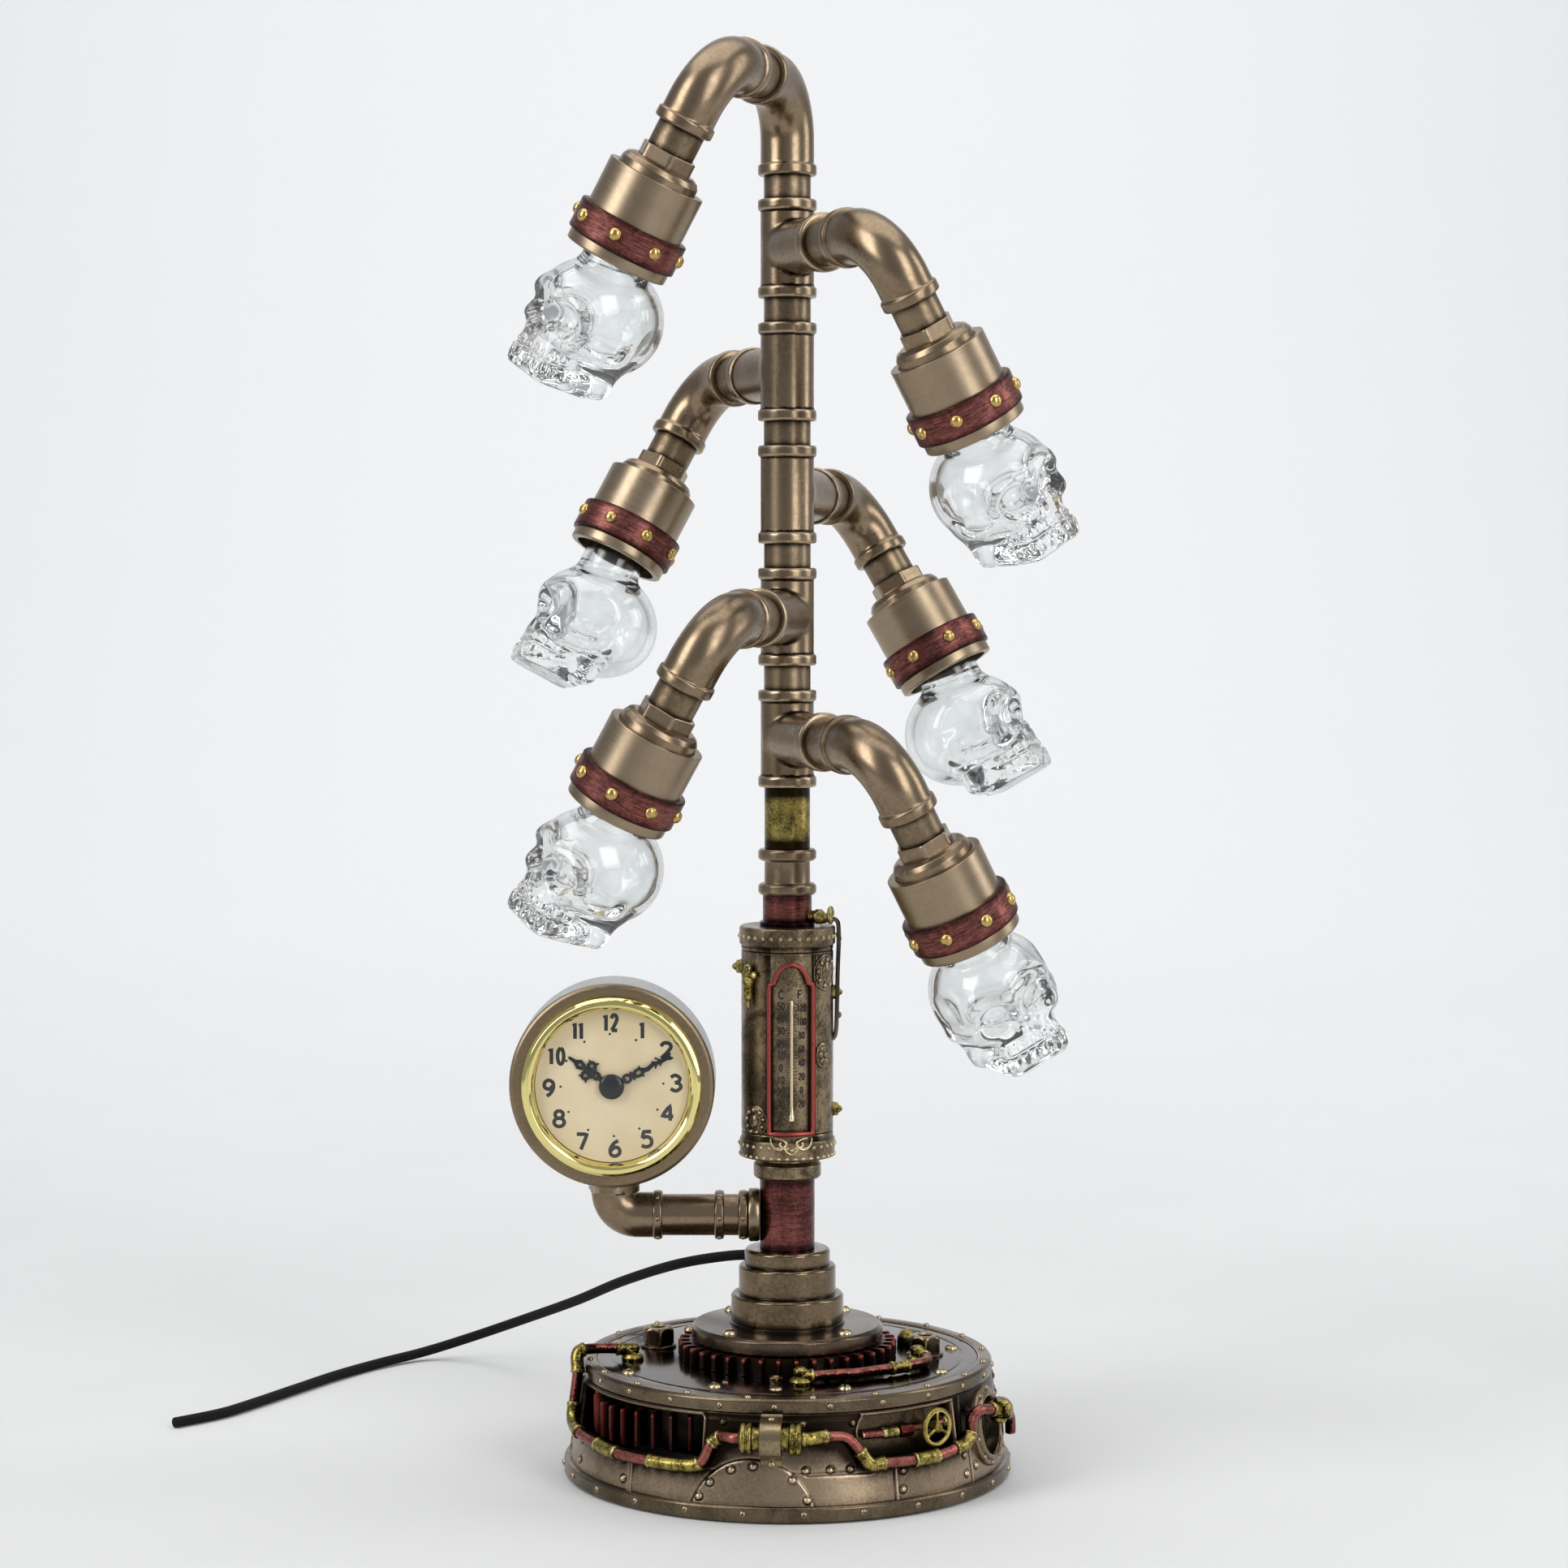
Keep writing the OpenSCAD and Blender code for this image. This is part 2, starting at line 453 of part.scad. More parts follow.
// hollow glass skull: neck up in the cup, crown below the lip, jaw at the free end
module skull(i) {
  color([0.85, 0.9, 0.92, 0.5]) arm(i) translate([0, 0, -skull_d[i]]) rotate([0, 0, skull_a[i]]) difference() {
    union() {
      drop_cyl(rim_h + 14.5, lip_h + 4, neck_r);
      translate([0, 6, -lip_h - 21.5]) sphere(r = 23.6);
      translate([0, -1, -lip_h - 23]) sphere(r = 20.5);
      translate([0, -5.5, 0]) drop_cyl(lip_h + 28, lip_h + 51, 13.5);
      translate([0, 7, 0]) drop_cyl(lip_h + 36, lip_h + 51, 13.4);
      translate([-13.2, -5.5, -lip_h - 51]) cube([26.4, 12.5, 15]);
    }
    drop_cyl(rim_h + 14, lip_h + 10, 9.5);
    translate([0, 6, -lip_h - 21.5]) sphere(r = 20.4);
  }
}
module glass_skull_1() { skull(0); }
module glass_skull_2() { skull(1); }
module glass_skull_3() { skull(2); }
module glass_skull_4() { skull(3); }
module glass_skull_5() { skull(4); }
module glass_skull_6() { skull(5); }

/* ---------- clock ---------- */
pipe_z = 102; pipe_r = 8.2; pipe_rb = 9.5;
module clock_arm_pipe() {
  color(bronze) translate([-clock_x, 0, pipe_z]) difference() {
    union() {
      mirror([1, 0, 0]) rotate([180, 0, 0]) bend(pipe_rb, pipe_r);
      xcyl(pipe_rb, clock_x - 10.95, pipe_r);
      xcyl(clock_x - 15.5, clock_x - 10.95, 10.6);
    }
    translate([clock_x, 0, -20]) cylinder(r = 10.95, h = 40);
    xcyl(pipe_rb, clock_x, 5.2);
    mirror([1, 0, 0]) rotate([180, 0, 0]) bend(pipe_rb, 5.2);
  }
}
module pipe_clamps() {
  color(bronze) {
    for (x = [-17.5, -27, -51.5]) translate([x, 0, pipe_z]) difference() { xcyl(-1.9, 1.9, 9.6); xcyl(-3, 3, pipe_r); }
    // strap over the canister
    difference() {
      translate(on(-4, 32.7, 6.4)) rotate([0, 0, -4]) difference() {
        union() { xcyl(-4, 4, 6.4); translate([-4, 2.6, -11]) cube([8, 5, 18.2]); translate([-4, 0, -6.4]) cube([8, 6, 12.8]); }
        xcyl(-6, 6, 5);
        translate([-6, 0, -5]) cube([12, 12, 10]);
      }
      drum_fill();
    }
  }
}
case_y0 = -18; case_y1 = 14;
module at_clock() { translate([-clock_x, 0, clock_z]) rotate([90, 0, 0]) children(); }
// along the clock's own axis, forward is positive
module case_ring(f0, f1, ro, ri) { at_clock() ring(f0, f1, ro, ri); }
module clock_case() {
  color(bronze) difference() {
    at_clock() rotate_extrude($fn = 96) polygon([[0, -14], [37.5, -14], [39.6, -12.6], [case_r, -10], [case_r, 16.2], [case_r - 1.2, 18], [31.1, 18], [31.1, 13], [36.5, 13], [36.5, -11.4], [0, -11.4]]);
    // hole for the fixing screw from the arm
    translate([-clock_x, 0, clock_z - case_r - 2]) cylinder(r = 4.2, h = 8);
  }
}
module clock_movement() {
  color("#1d1d1d") at_clock() difference() {
    union() {
      translate([0, 0, 10]) cylinder(r = 30.4, h = 6.6);
      translate([-21, -21, -2]) cube([42, 42, 13]);
      translate([0, 0, 16]) cylinder(r = 1.2, h = 4.1, $fn = 32);
    }
    translate([0, 0, -3]) cylinder(r = 2.58, h = 8);
    translate([12, 0, -3]) cylinder(r = 5.9, h = 6.6);
  }
}
module clock_bezel() {
  color(gold) at_clock() rotate_extrude($fn = 96) polygon([[30.45, 10.2], [30.8, 10.2], [30.8, 18.3], [bezel_r, 18.3], [bezel_r, 20], [33.8, 22.2], [32.2, 22.4], [31, 21.8], [31, 20.9], [30.3, 20.9], [30.3, 17.4], [30.45, 17.4]]);
}
module clock_dial() { color("#ead3a4") at_clock() difference() { translate([0, 0, 16.6]) cylinder(r = 30.25, h = 0.6); translate([0, 0, 16]) cylinder(r = 1.25, h = 2, $fn = 32); } }
module clock_lens() { color([0.9, 0.95, 1, 0.3]) at_clock() translate([0, 0, 20.9]) cylinder(r = 30.95, h = 1); }
module clock_battery() { color("#c0c0c0") at_clock() translate([12, 0, -1.9]) cylinder(r = 5.8, h = 5.4); }
module hand(l, w, t, a, r) {
  rotate([0, 0, -a]) difference() {
    union() { cylinder(r = r, h = t); translate([-w/2, -5, 0]) cube([w, l + 5, t]); }
    translate([0, 0, -1]) cylinder(r = 1.25, h = 4, $fn = 32);
  }
}
module hour_hand() { color("#111111") at_clock() translate([0, 0, 17.7]) hand(20.5, 2.4, 0.5, 304.5, 3.6); }
module minute_hand() {
  color("#111111") at_clock() translate([0, 0, 18.7]) difference() {
    union() { hand(27, 2, 0.5, 62.5, 3.6); cylinder(r = 4.8, h = 1.1); translate([0, 0, 1.1]) cylinder(r1 = 4.8, r2 = 3, h = 0.8); }
    translate([0, 0, -1]) cylinder(r = 1.25, h = 2.6, $fn = 32);
  }
}
module time_set_knob() { color("#cfcfcf") at_clock() { translate([0, 0, -5.5]) cylinder(r = 5, h = 3); translate([0, 0, -3]) cylinder(r = 2.5, h = 7); } }

base_drum();
base_hoops();
base_top_plate();
base_floor_plate();
felt_pad();
ballast_disc();
window_gear();
neck_gear();
neck_flange();
stepped_neck();
base_screws();
casting_rivets();
base_copper_pipes();
base_brass_fittings();
brass_canister();
handwheel();
handwheel_bracket();
porthole_frame();
dimmer_switch();
led_driver();
cord_gland();
power_cord();
wire_harness();
lower_copper_sleeve();
barrel_caps();
thermometer_barrel();
thermometer_plate();
thermometer_frame();
thermometer_tube();
barrel_fittings();
upper_copper_sleeve();
lower_coupling();
brass_nipple();
pipe_nipples();
column_tees();
top_elbow();
arm_elbows();
hex_bushings();
lamp_cups();
cup_bands();
band_studs();
led_modules();
skull_grips();
glass_skull_1();
glass_skull_2();
glass_skull_3();
glass_skull_4();
glass_skull_5();
glass_skull_6();
pipe_clamps();
clock_arm_pipe();
clock_case();
clock_movement();
clock_bezel();
clock_lens();
clock_dial();
clock_battery();
hour_hand();
minute_hand();
time_set_knob();
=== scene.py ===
import bpy
import math
import numpy as np
from mathutils import Matrix, Vector


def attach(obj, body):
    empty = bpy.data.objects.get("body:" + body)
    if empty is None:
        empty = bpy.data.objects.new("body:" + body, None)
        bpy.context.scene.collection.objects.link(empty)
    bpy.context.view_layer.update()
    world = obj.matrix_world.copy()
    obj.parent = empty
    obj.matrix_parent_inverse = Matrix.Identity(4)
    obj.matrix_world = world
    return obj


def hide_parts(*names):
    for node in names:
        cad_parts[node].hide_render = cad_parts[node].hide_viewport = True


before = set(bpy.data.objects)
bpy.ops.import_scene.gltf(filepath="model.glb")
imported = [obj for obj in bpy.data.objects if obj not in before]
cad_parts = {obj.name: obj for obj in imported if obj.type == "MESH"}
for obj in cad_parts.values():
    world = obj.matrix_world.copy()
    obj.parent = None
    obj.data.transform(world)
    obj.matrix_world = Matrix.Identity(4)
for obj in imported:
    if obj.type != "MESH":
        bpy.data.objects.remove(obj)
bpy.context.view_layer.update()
ROOT = "lamp_stand"
scene = bpy.context.scene
scene.view_settings.view_transform = "Standard"
scene.view_settings.look = "None"

# ------------------------------------------------------------------ camera
cam_data = bpy.data.cameras.new("camera")
cam_data.sensor_fit = "HORIZONTAL"
cam_data.sensor_width = 36.0
cam_data.lens = 36.0 * 4540.0 / 1932.0
cam_data.clip_end = 50
cam = bpy.data.objects.new("camera", cam_data)
cam.location = (-0.0013, -1.455, 0.363)
cam.rotation_euler = (math.radians(90 - 3.505), 0, 0)
scene.collection.objects.link(cam)
scene.camera = cam

# ------------------------------------------------------------------ numbers shared with the construction, in mm
ARM_Z = [547.5, 484, 436, 388, 340, 292]
ARM_AZ = [252, 294, 113, 72, 252, 294]
ARM_S = [-1, 1, 1, -1, -1, 1]
ARM_T = [0, 0, 0.5, 1.5, 0.5, -1]
SKULL_A = [60, 100, 172, 0, 56, 84]
SKULL_D = [0, 0, 5, 2, 0, 0]
STUD_A = [8.4, 7.2, 1.1, 35.3, 4.3, 1]
ARM_L, ARM_TURN = 83.5, 29
NIP, FIT, BEAD, BEADW = 9.2, 10.5, 11.5, 4.4
TEE_HALF, BRANCH_FACE, ELBOW_FACE, DROP_FACE = 19.2, 36.4, 53.3, 28.6
RIM_H, BAND0, BAND1, LIP_H, CUP_R = 49.3, 67.5, 79.5, 83.8, 19.1
HOOP_Z, DRUM_TOP, R0, R1 = 6.5, 40.0, 86.5, 81.5


def rot(axis, deg):
    return np.array(Matrix.Rotation(math.radians(deg), 4, axis))


def tr(x, y, z):
    m = np.eye(4)
    m[:3, 3] = (x, y, z)
    return m


def branch_m(i):
    return tr(0, 0, ARM_Z[i]) @ rot("Z", ARM_AZ[i])


def arm_m(i):
    return branch_m(i) @ tr(ARM_L, 0, 0) @ rot("X", ARM_S[i] * (ARM_TURN + ARM_T[i]))


def dr(z):
    return R0 - (R0 - R1) * (z - HOOP_Z) / (DRUM_TOP - HOOP_Z)


def bp(a, r, z):
    t = math.radians(a)
    return np.array([r * math.sin(t), -r * math.cos(t), z])


def on(a, z, o=3.4):
    return bp(a, dr(z) + o, z)


CLOCK_M = tr(-69, 0, 156) @ rot("X", 90)
WHEEL_M = tr(*bp(42, 82.4, 31.3)) @ rot("Z", 42) @ rot("X", 90)
PORT_M = tr(*bp(68.5, dr(24.3), 24.3)) @ rot("Z", 68.5) @ rot("X", 81.5)


# ------------------------------------------------------------------ mesh parts, in mm
class Part:
    """Points, quads, triangles and one free number a point."""

    def __init__(self, v=None, q=None, t=None, tint=None):
        self.v = np.zeros((0, 3)) if v is None else np.asarray(v, float).reshape(-1, 3)
        self.q = np.zeros((0, 4), int) if q is None else np.asarray(q, int).reshape(-1, 4)
        self.t = np.zeros((0, 3), int) if t is None else np.asarray(t, int).reshape(-1, 3)
        self.tint = np.zeros(len(self.v)) if tint is None else np.asarray(tint, float)

    def __add__(self, o):
        n = len(self.v)
        return Part(np.vstack([self.v, o.v]), np.vstack([self.q, o.q + n]), np.vstack([self.t, o.t + n]), np.r_[self.tint, o.tint])

    def at(self, m):
        v = self.v @ m[:3, :3].T + m[:3, 3]
        if np.linalg.det(m[:3, :3]) < 0:
            return Part(v, self.q[:, ::-1], self.t[:, ::-1], self.tint)
        return Part(v, self.q, self.t, self.tint)


def joined(parts):
    out = Part()
    vs, qs, ts, tn, n = [], [], [], [], 0
    for p in parts:
        vs.append(p.v), qs.append(p.q + n), ts.append(p.t + n), tn.append(p.tint)
        n += len(p.v)
    if vs:
        out = Part(np.vstack(vs), np.vstack(qs), np.vstack(ts), np.concatenate(tn))
    return out


def fillet(points, seg=4):
    """Points (r, z, radius of the corner) -> a line with round corners."""
    p = [np.array(x[:2], float) for x in points]
    e = [x[2] if len(x) > 2 else 0 for x in points]
    out = []
    for i, c in enumerate(p):
        if e[i] <= 0 or i in (0, len(p) - 1):
            out.append(c)
            continue
        a, b = p[i - 1] - c, p[i + 1] - c
        la, lb = np.linalg.norm(a), np.linalg.norm(b)
        if min(la, lb) < 1e-9:
            out.append(c)
            continue
        a, b = a / la, b / lb
        half = math.acos(max(-1, min(1, float(a @ b)))) / 2
        d = min(e[i] / max(math.tan(half), 1e-6), 0.48 * la, 0.48 * lb)
        if d < 2e-3:
            out.append(c)
            continue
        s, f = c + a * d, c + b * d
        for k in range(seg + 1):
            t = k / seg
            out.append((1 - t) ** 2 * s + 2 * t * (1 - t) * c + t * t * f)
    return np.array(out)


def lathe(profile, n=72, closed=False):
    """Turns a line of (r, z) about Z. Going up on the outside gives outward faces."""
    prof = np.asarray(profile, float)
    th = np.linspace(0, 2 * math.pi, n, endpoint=False)
    c, s = np.cos(th), np.sin(th)
    v, rows, k = [], [], 0
    for r, z in prof[:, :2]:
        if r < 1e-6:
            v.append([[0, 0, z]])
            rows.append((k, 1))
            k += 1
        else:
            v.append(np.stack([r * c, r * s, np.full(n, z)], 1))
            rows.append((k, n))
            k += n
    q, t = [], []
    j = np.arange(n)
    jn = (j + 1) % n
    pairs = [(i, i + 1) for i in range(len(rows) - 1)] + ([(len(rows) - 1, 0)] if closed else [])
    for a, b in pairs:
        (ka, na), (kb, nb) = rows[a], rows[b]
        if na == n and nb == n:
            q.append(np.stack([ka + j, ka + jn, kb + jn, kb + j], 1))
        elif na == 1 and nb == n:
            t.append(np.stack([np.full(n, ka), kb + jn, kb + j], 1))
        elif nb == 1 and na == n:
            t.append(np.stack([ka + j, ka + jn, np.full(n, kb)], 1))
    return Part(np.vstack(v), np.vstack(q) if q else None, np.vstack(t) if t else None)


def polar(rfun, zs, n, caps=True):
    """A body whose radius is rfun(angle, level index)."""
    th = np.linspace(0, 2 * math.pi, n, endpoint=False)
    v, q, t = [], [], []
    for k, z in enumerate(zs):
        r = rfun(th, k)
        v.append(np.stack([r * np.cos(th), r * np.sin(th), np.full(n, z)], 1))
    m = len(zs)
    j = np.arange(n)
    jn = (j + 1) % n
    for a in range(m - 1):
        q.append(np.stack([a * n + j, a * n + jn, (a + 1) * n + jn, (a + 1) * n + j], 1))
    v = np.vstack(v)
    if caps:
        v = np.vstack([v, [[0, 0, zs[0]], [0, 0, zs[-1]]]])
        t.append(np.stack([np.full(n, m * n), jn, j], 1))
        t.append(np.stack([np.full(n, m * n + 1), (m - 1) * n + j, (m - 1) * n + jn], 1))
    return Part(v, np.vstack(q), np.vstack(t) if t else None)


def frames(p):
    t = np.gradient(p, axis=0)
    t /= np.linalg.norm(t, axis=1)[:, None]
    a = np.array([0, 0, 1.0]) if abs(t[0][2]) < 0.9 else np.array([1.0, 0, 0])
    u = np.cross(a, t[0])
    u /= np.linalg.norm(u)
    us = [u]
    for i in range(1, len(p)):
        u = us[-1] - t[i] * (us[-1] @ t[i])
        us.append(u / np.linalg.norm(u))
    us = np.array(us)
    return t, us, np.cross(t, us)


def sweep(path, radius, n=32, cap=True, flat=1.0):
    """A round bar along a line; radius is a number or one for each point."""
    p = np.asarray(path, float)
    r = np.full(len(p), radius, float) if np.isscalar(radius) else np.asarray(radius, float)
    # points that share a place (a step in radius) take the direction of their neighbours
    keep = [0]
    for i in range(1, len(p)):
        if np.linalg.norm(p[i] - p[keep[-1]]) > 1e-7:
            keep.append(i)
    t, u, w = frames(p[keep])
    idx = np.searchsorted(keep, np.arange(len(p)), side="right") - 1
    u, w = u[idx], w[idx]
    th = np.linspace(0, 2 * math.pi, n, endpoint=False)
    v = p[:, None] + r[:, None, None] * (np.cos(th)[None, :, None] * u[:, None] + flat * np.sin(th)[None, :, None] * w[:, None])
    m = len(p)
    v = v.reshape(-1, 3)
    j = np.arange(n)
    jn = (j + 1) % n
    q = np.vstack([np.stack([a * n + j, a * n + jn, (a + 1) * n + jn, (a + 1) * n + j], 1) for a in range(m - 1)])
    tt = None
    if cap:
        v = np.vstack([v, p[:1], p[-1:]])
        tt = np.vstack([np.stack([np.full(n, m * n), jn, j], 1), np.stack([np.full(n, m * n + 1), (m - 1) * n + j, (m - 1) * n + jn], 1)])
    return Part(v, q, tt)


def smooth_line(pts, n=8, closed=False):
    p = np.asarray(pts, float)
    m = len(p)
    out = []
    for i in range(m if closed else m - 1):
        if closed:
            a, b, c, d = p[(i - 1) % m], p[i], p[(i + 1) % m], p[(i + 2) % m]
        else:
            a, b, c, d = p[max(i - 1, 0)], p[i], p[i + 1], p[min(i + 2, m - 1)]
        for k in range(n):
            t = k / n
            out.append(0.5 * (2 * b + (c - a) * t + (2 * a - 5 * b + 4 * c - d) * t * t + (3 * b - a - 3 * c + d) * t ** 3))
    if not closed:
        out.append(p[-1])
    return np.array(out)


def along(path, profile):
    """Radius steps (distance, radius) laid along a line: returns points and radii."""
    p = np.asarray(path, float)
    s = np.r_[0, np.cumsum(np.linalg.norm(np.diff(p, axis=0), axis=1))]
    pro = np.asarray(profile, float)
    sa = np.r_[pro[:, 0], [x for x in s if not np.any(np.abs(pro[:, 0] - x) < 0.25)]]
    order = np.argsort(sa, kind="stable")
    sa = sa[order]
    fill = np.r_[pro[:, 1], np.interp([x for x in s if not np.any(np.abs(pro[:, 0] - x) < 0.25)], pro[:, 0], pro[:, 1])][order]
    pts = np.stack([np.interp(sa, s, p[:, k]) for k in range(3)], 1)
    return pts, fill


# signed distances and a mesher for blended shapes
def nets(f, lo, hi, h, it=3):
    lo = np.asarray(lo, float)
    n = np.ceil((np.asarray(hi, float) - lo) / h).astype(int) + 1
    ax = [lo[k] + h * np.arange(n[k]) for k in range(3)]
    d = np.empty(n)
    yy, zz = np.meshgrid(ax[1], ax[2], indexing="ij")
    step = max(1, int(150000 / (n[1] * n[2])))
    for i in range(0, n[0], step):
        xs = ax[0][i:i + step]
        p = np.empty((len(xs), n[1], n[2], 3))
        p[..., 0], p[..., 1], p[..., 2] = xs[:, None, None], yy, zz
        d[i:i + step] = f(p.reshape(-1, 3)).reshape(len(xs), n[1], n[2])
    s = d < 0
    cnt = np.zeros(n - 1, int)
    corner = [(a, b, c) for a in (0, 1) for b in (0, 1) for c in (0, 1)]
    for a, b, c in corner:
        cnt += s[a:n[0] - 1 + a, b:n[1] - 1 + b, c:n[2] - 1 + c]
    act = (cnt > 0) & (cnt < 8)
    ids = np.full(n - 1, -1)
    ids[act] = np.arange(act.sum())
    ci = np.argwhere(act)
    cv = np.stack([d[ci[:, 0] + a, ci[:, 1] + b, ci[:, 2] + c] for a, b, c in corner], 1)
    co = np.array(corner, float)
    acc, num = np.zeros((len(ci), 3)), np.zeros(len(ci))
    for i in range(8):
        for j in range(i + 1, 8):
            if np.abs(co[i] - co[j]).sum() == 1:
                m = (cv[:, i] < 0) != (cv[:, j] < 0)
                t = np.where(m, cv[:, i] / np.where(m, cv[:, i] - cv[:, j], 1), 0)
                acc += np.where(m[:, None], co[i] + t[:, None] * (co[j] - co[i]), 0)
                num += m
    v = lo + h * (ci + acc / num[:, None])
    e = 0.05
    for _ in range(it):
        g = np.stack([(f(v + e * np.eye(3)[k]) - f(v - e * np.eye(3)[k])) / (2 * e) for k in range(3)], 1)
        v = v - np.clip(f(v), -h, h)[:, None] * g / np.maximum((g * g).sum(1), 0.3)[:, None]
    quads = []
    for ax_ in range(3):
        u, w = (ax_ + 1) % 3, (ax_ + 2) % 3
        a = np.take(s, range(0, n[ax_] - 1), ax_)
        b = np.take(s, range(1, n[ax_]), ax_)
        ed = np.argwhere(a != b)
        ok = (ed[:, u] > 0) & (ed[:, w] > 0) & (ed[:, u] < n[u] - 1) & (ed[:, w] < n[w] - 1)
        ed = ed[ok]
        up = a[tuple(ed.T)]

        def cell(du, dw):
            x = ed.copy()
            x[:, u] -= du
            x[:, w] -= dw
            return ids[tuple(x.T)]

        qd = np.stack([cell(1, 1), cell(0, 1), cell(0, 0), cell(1, 0)], 1)
        qd[~up] = qd[~up][:, ::-1]
        quads.append(qd)
    return Part(v, np.vstack(quads))


def smin(a, b, k):
    h = np.clip(0.5 + 0.5 * (b - a) / k, 0, 1)
    return b * (1 - h) + a * h - k * h * (1 - h)


def smax(a, b, k):
    return -smin(-a, -b, k)


def ell(p, c, r):
    q = (p - np.asarray(c, float)) / np.asarray(r, float)
    k0 = np.sqrt((q * q).sum(1))
    k1 = np.sqrt(((q / np.asarray(r, float)) ** 2).sum(1))
    return k0 * (k0 - 1) / np.maximum(k1, 1e-6)


def cap(p, a, b, r):
    a, b = np.asarray(a, float), np.asarray(b, float)
    ab = b - a
    t = np.clip(((p - a) @ ab) / (ab @ ab), 0, 1)
    return np.sqrt(((p - a - t[:, None] * ab) ** 2).sum(1)) - r


def rcyl(p, axis, a0, a1, r, e):
    o = [k for k in range(3) if k != axis]
    rad = np.sqrt(p[:, o[0]] ** 2 + p[:, o[1]] ** 2) - r + e
    t = np.abs(p[:, axis] - (a0 + a1) / 2) - (a1 - a0) / 2 + e
    return np.sqrt(np.maximum(rad, 0) ** 2 + np.maximum(t, 0) ** 2) + np.minimum(np.maximum(rad, t), 0) - e


def rbox3(p, c, hs, e):
    q = np.abs(p - np.asarray(c, float)) - np.asarray(hs, float) + e
    return np.sqrt((np.maximum(q, 0) ** 2).sum(1)) + np.minimum(q.max(1), 0) - e


# relief on a sheet
def inside(sd, w):
    t = np.clip(0.5 - sd / w, 0, 1)
    return t * t * (3 - 2 * t)


def rbox(x, y, hx, hy, r):
    qx, qy = np.abs(x) - hx + r, np.abs(y) - hy + r
    return np.hypot(np.maximum(qx, 0), np.maximum(qy, 0)) + np.minimum(np.maximum(qx, qy), 0) - r


def dome(x, y, r, h):
    return h * np.sqrt(np.clip(1 - (x * x + y * y) / (r * r), 0, 1))


def wear_of(part, amp, rounds):
    v = part.v
    e = [part.q[:, [0, 1]], part.q[:, [1, 2]], part.q[:, [2, 3]], part.q[:, [3, 0]], part.t[:, [0, 1]], part.t[:, [1, 2]], part.t[:, [2, 0]]]
    e = np.vstack(e)
    e = np.vstack([e, e[:, ::-1]])
    n = len(v)
    cnt = np.maximum(np.bincount(e[:, 0], minlength=n), 1)
    nb = np.stack([np.bincount(e[:, 0], v[e[:, 1], k], minlength=n) for k in range(3)], 1) / cnt[:, None]
    fn = np.vstack([np.cross(v[part.q[:, 2]] - v[part.q[:, 0]], v[part.q[:, 3]] - v[part.q[:, 1]]), np.cross(v[part.t[:, 1]] - v[part.t[:, 0]], v[part.t[:, 2]] - v[part.t[:, 0]])])
    nn = np.zeros((n, 3))
    idx = np.concatenate([part.q.ravel(), part.t.ravel()])
    val = np.concatenate([np.repeat(fn[:len(part.q)], 4, 0), np.repeat(fn[len(part.q):], 3, 0)])
    for k in range(3):
        nn[:, k] = np.bincount(idx, val[:, k], minlength=n)
    nn /= np.maximum(np.linalg.norm(nn, axis=1), 1e-12)[:, None]
    ln = np.bincount(e[:, 0], np.linalg.norm(v[e[:, 1]] - v[e[:, 0]], axis=1), minlength=n) / cnt
    c = -((nb - v) * nn).sum(1) / np.maximum(ln, 1e-9)
    c = np.clip(c, -0.35, 0.35)
    for _ in range(rounds):
        c = 0.5 * c + 0.5 * np.bincount(e[:, 0], c[e[:, 1]], minlength=n) / cnt
    return np.clip(0.5 + amp * c, 0, 1)


def normals(part):
    v = part.v
    fn = np.vstack([np.cross(v[part.q[:, 2]] - v[part.q[:, 0]], v[part.q[:, 3]] - v[part.q[:, 1]]), np.cross(v[part.t[:, 1]] - v[part.t[:, 0]], v[part.t[:, 2]] - v[part.t[:, 0]])])
    idx = np.concatenate([part.q.ravel(), part.t.ravel()])
    val = np.concatenate([np.repeat(fn[:len(part.q)], 4, 0), np.repeat(fn[len(part.q):], 3, 0)])
    nn = np.stack([np.bincount(idx, val[:, k], minlength=len(v)) for k in range(3)], 1)
    return nn / np.maximum(np.linalg.norm(nn, axis=1), 1e-12)[:, None]


def painted_shade_side(part, amount=0.42, lo=0.0, hi=0.8):
    """Painted shade with a dry-brushed look: what does not look away from the base's surface, toward the skirt and
    underneath, stays dark.
    """
    nn = normals(part)
    r = np.maximum(np.hypot(part.v[:, 0], part.v[:, 1]), 1e-6)
    top = (part.v[:, 2] > 45.4) & (r < 77)
    out = np.stack([part.v[:, 0] / r, part.v[:, 1] / r, np.full(len(r), 0.45)], 1)
    out[top] = (0, 0, 1)
    f = (nn * out).sum(1) / np.linalg.norm(out, axis=1)
    t = np.clip((hi - f) / (hi - lo), 0, 1)
    return amount * t * t * (3 - 2 * t)


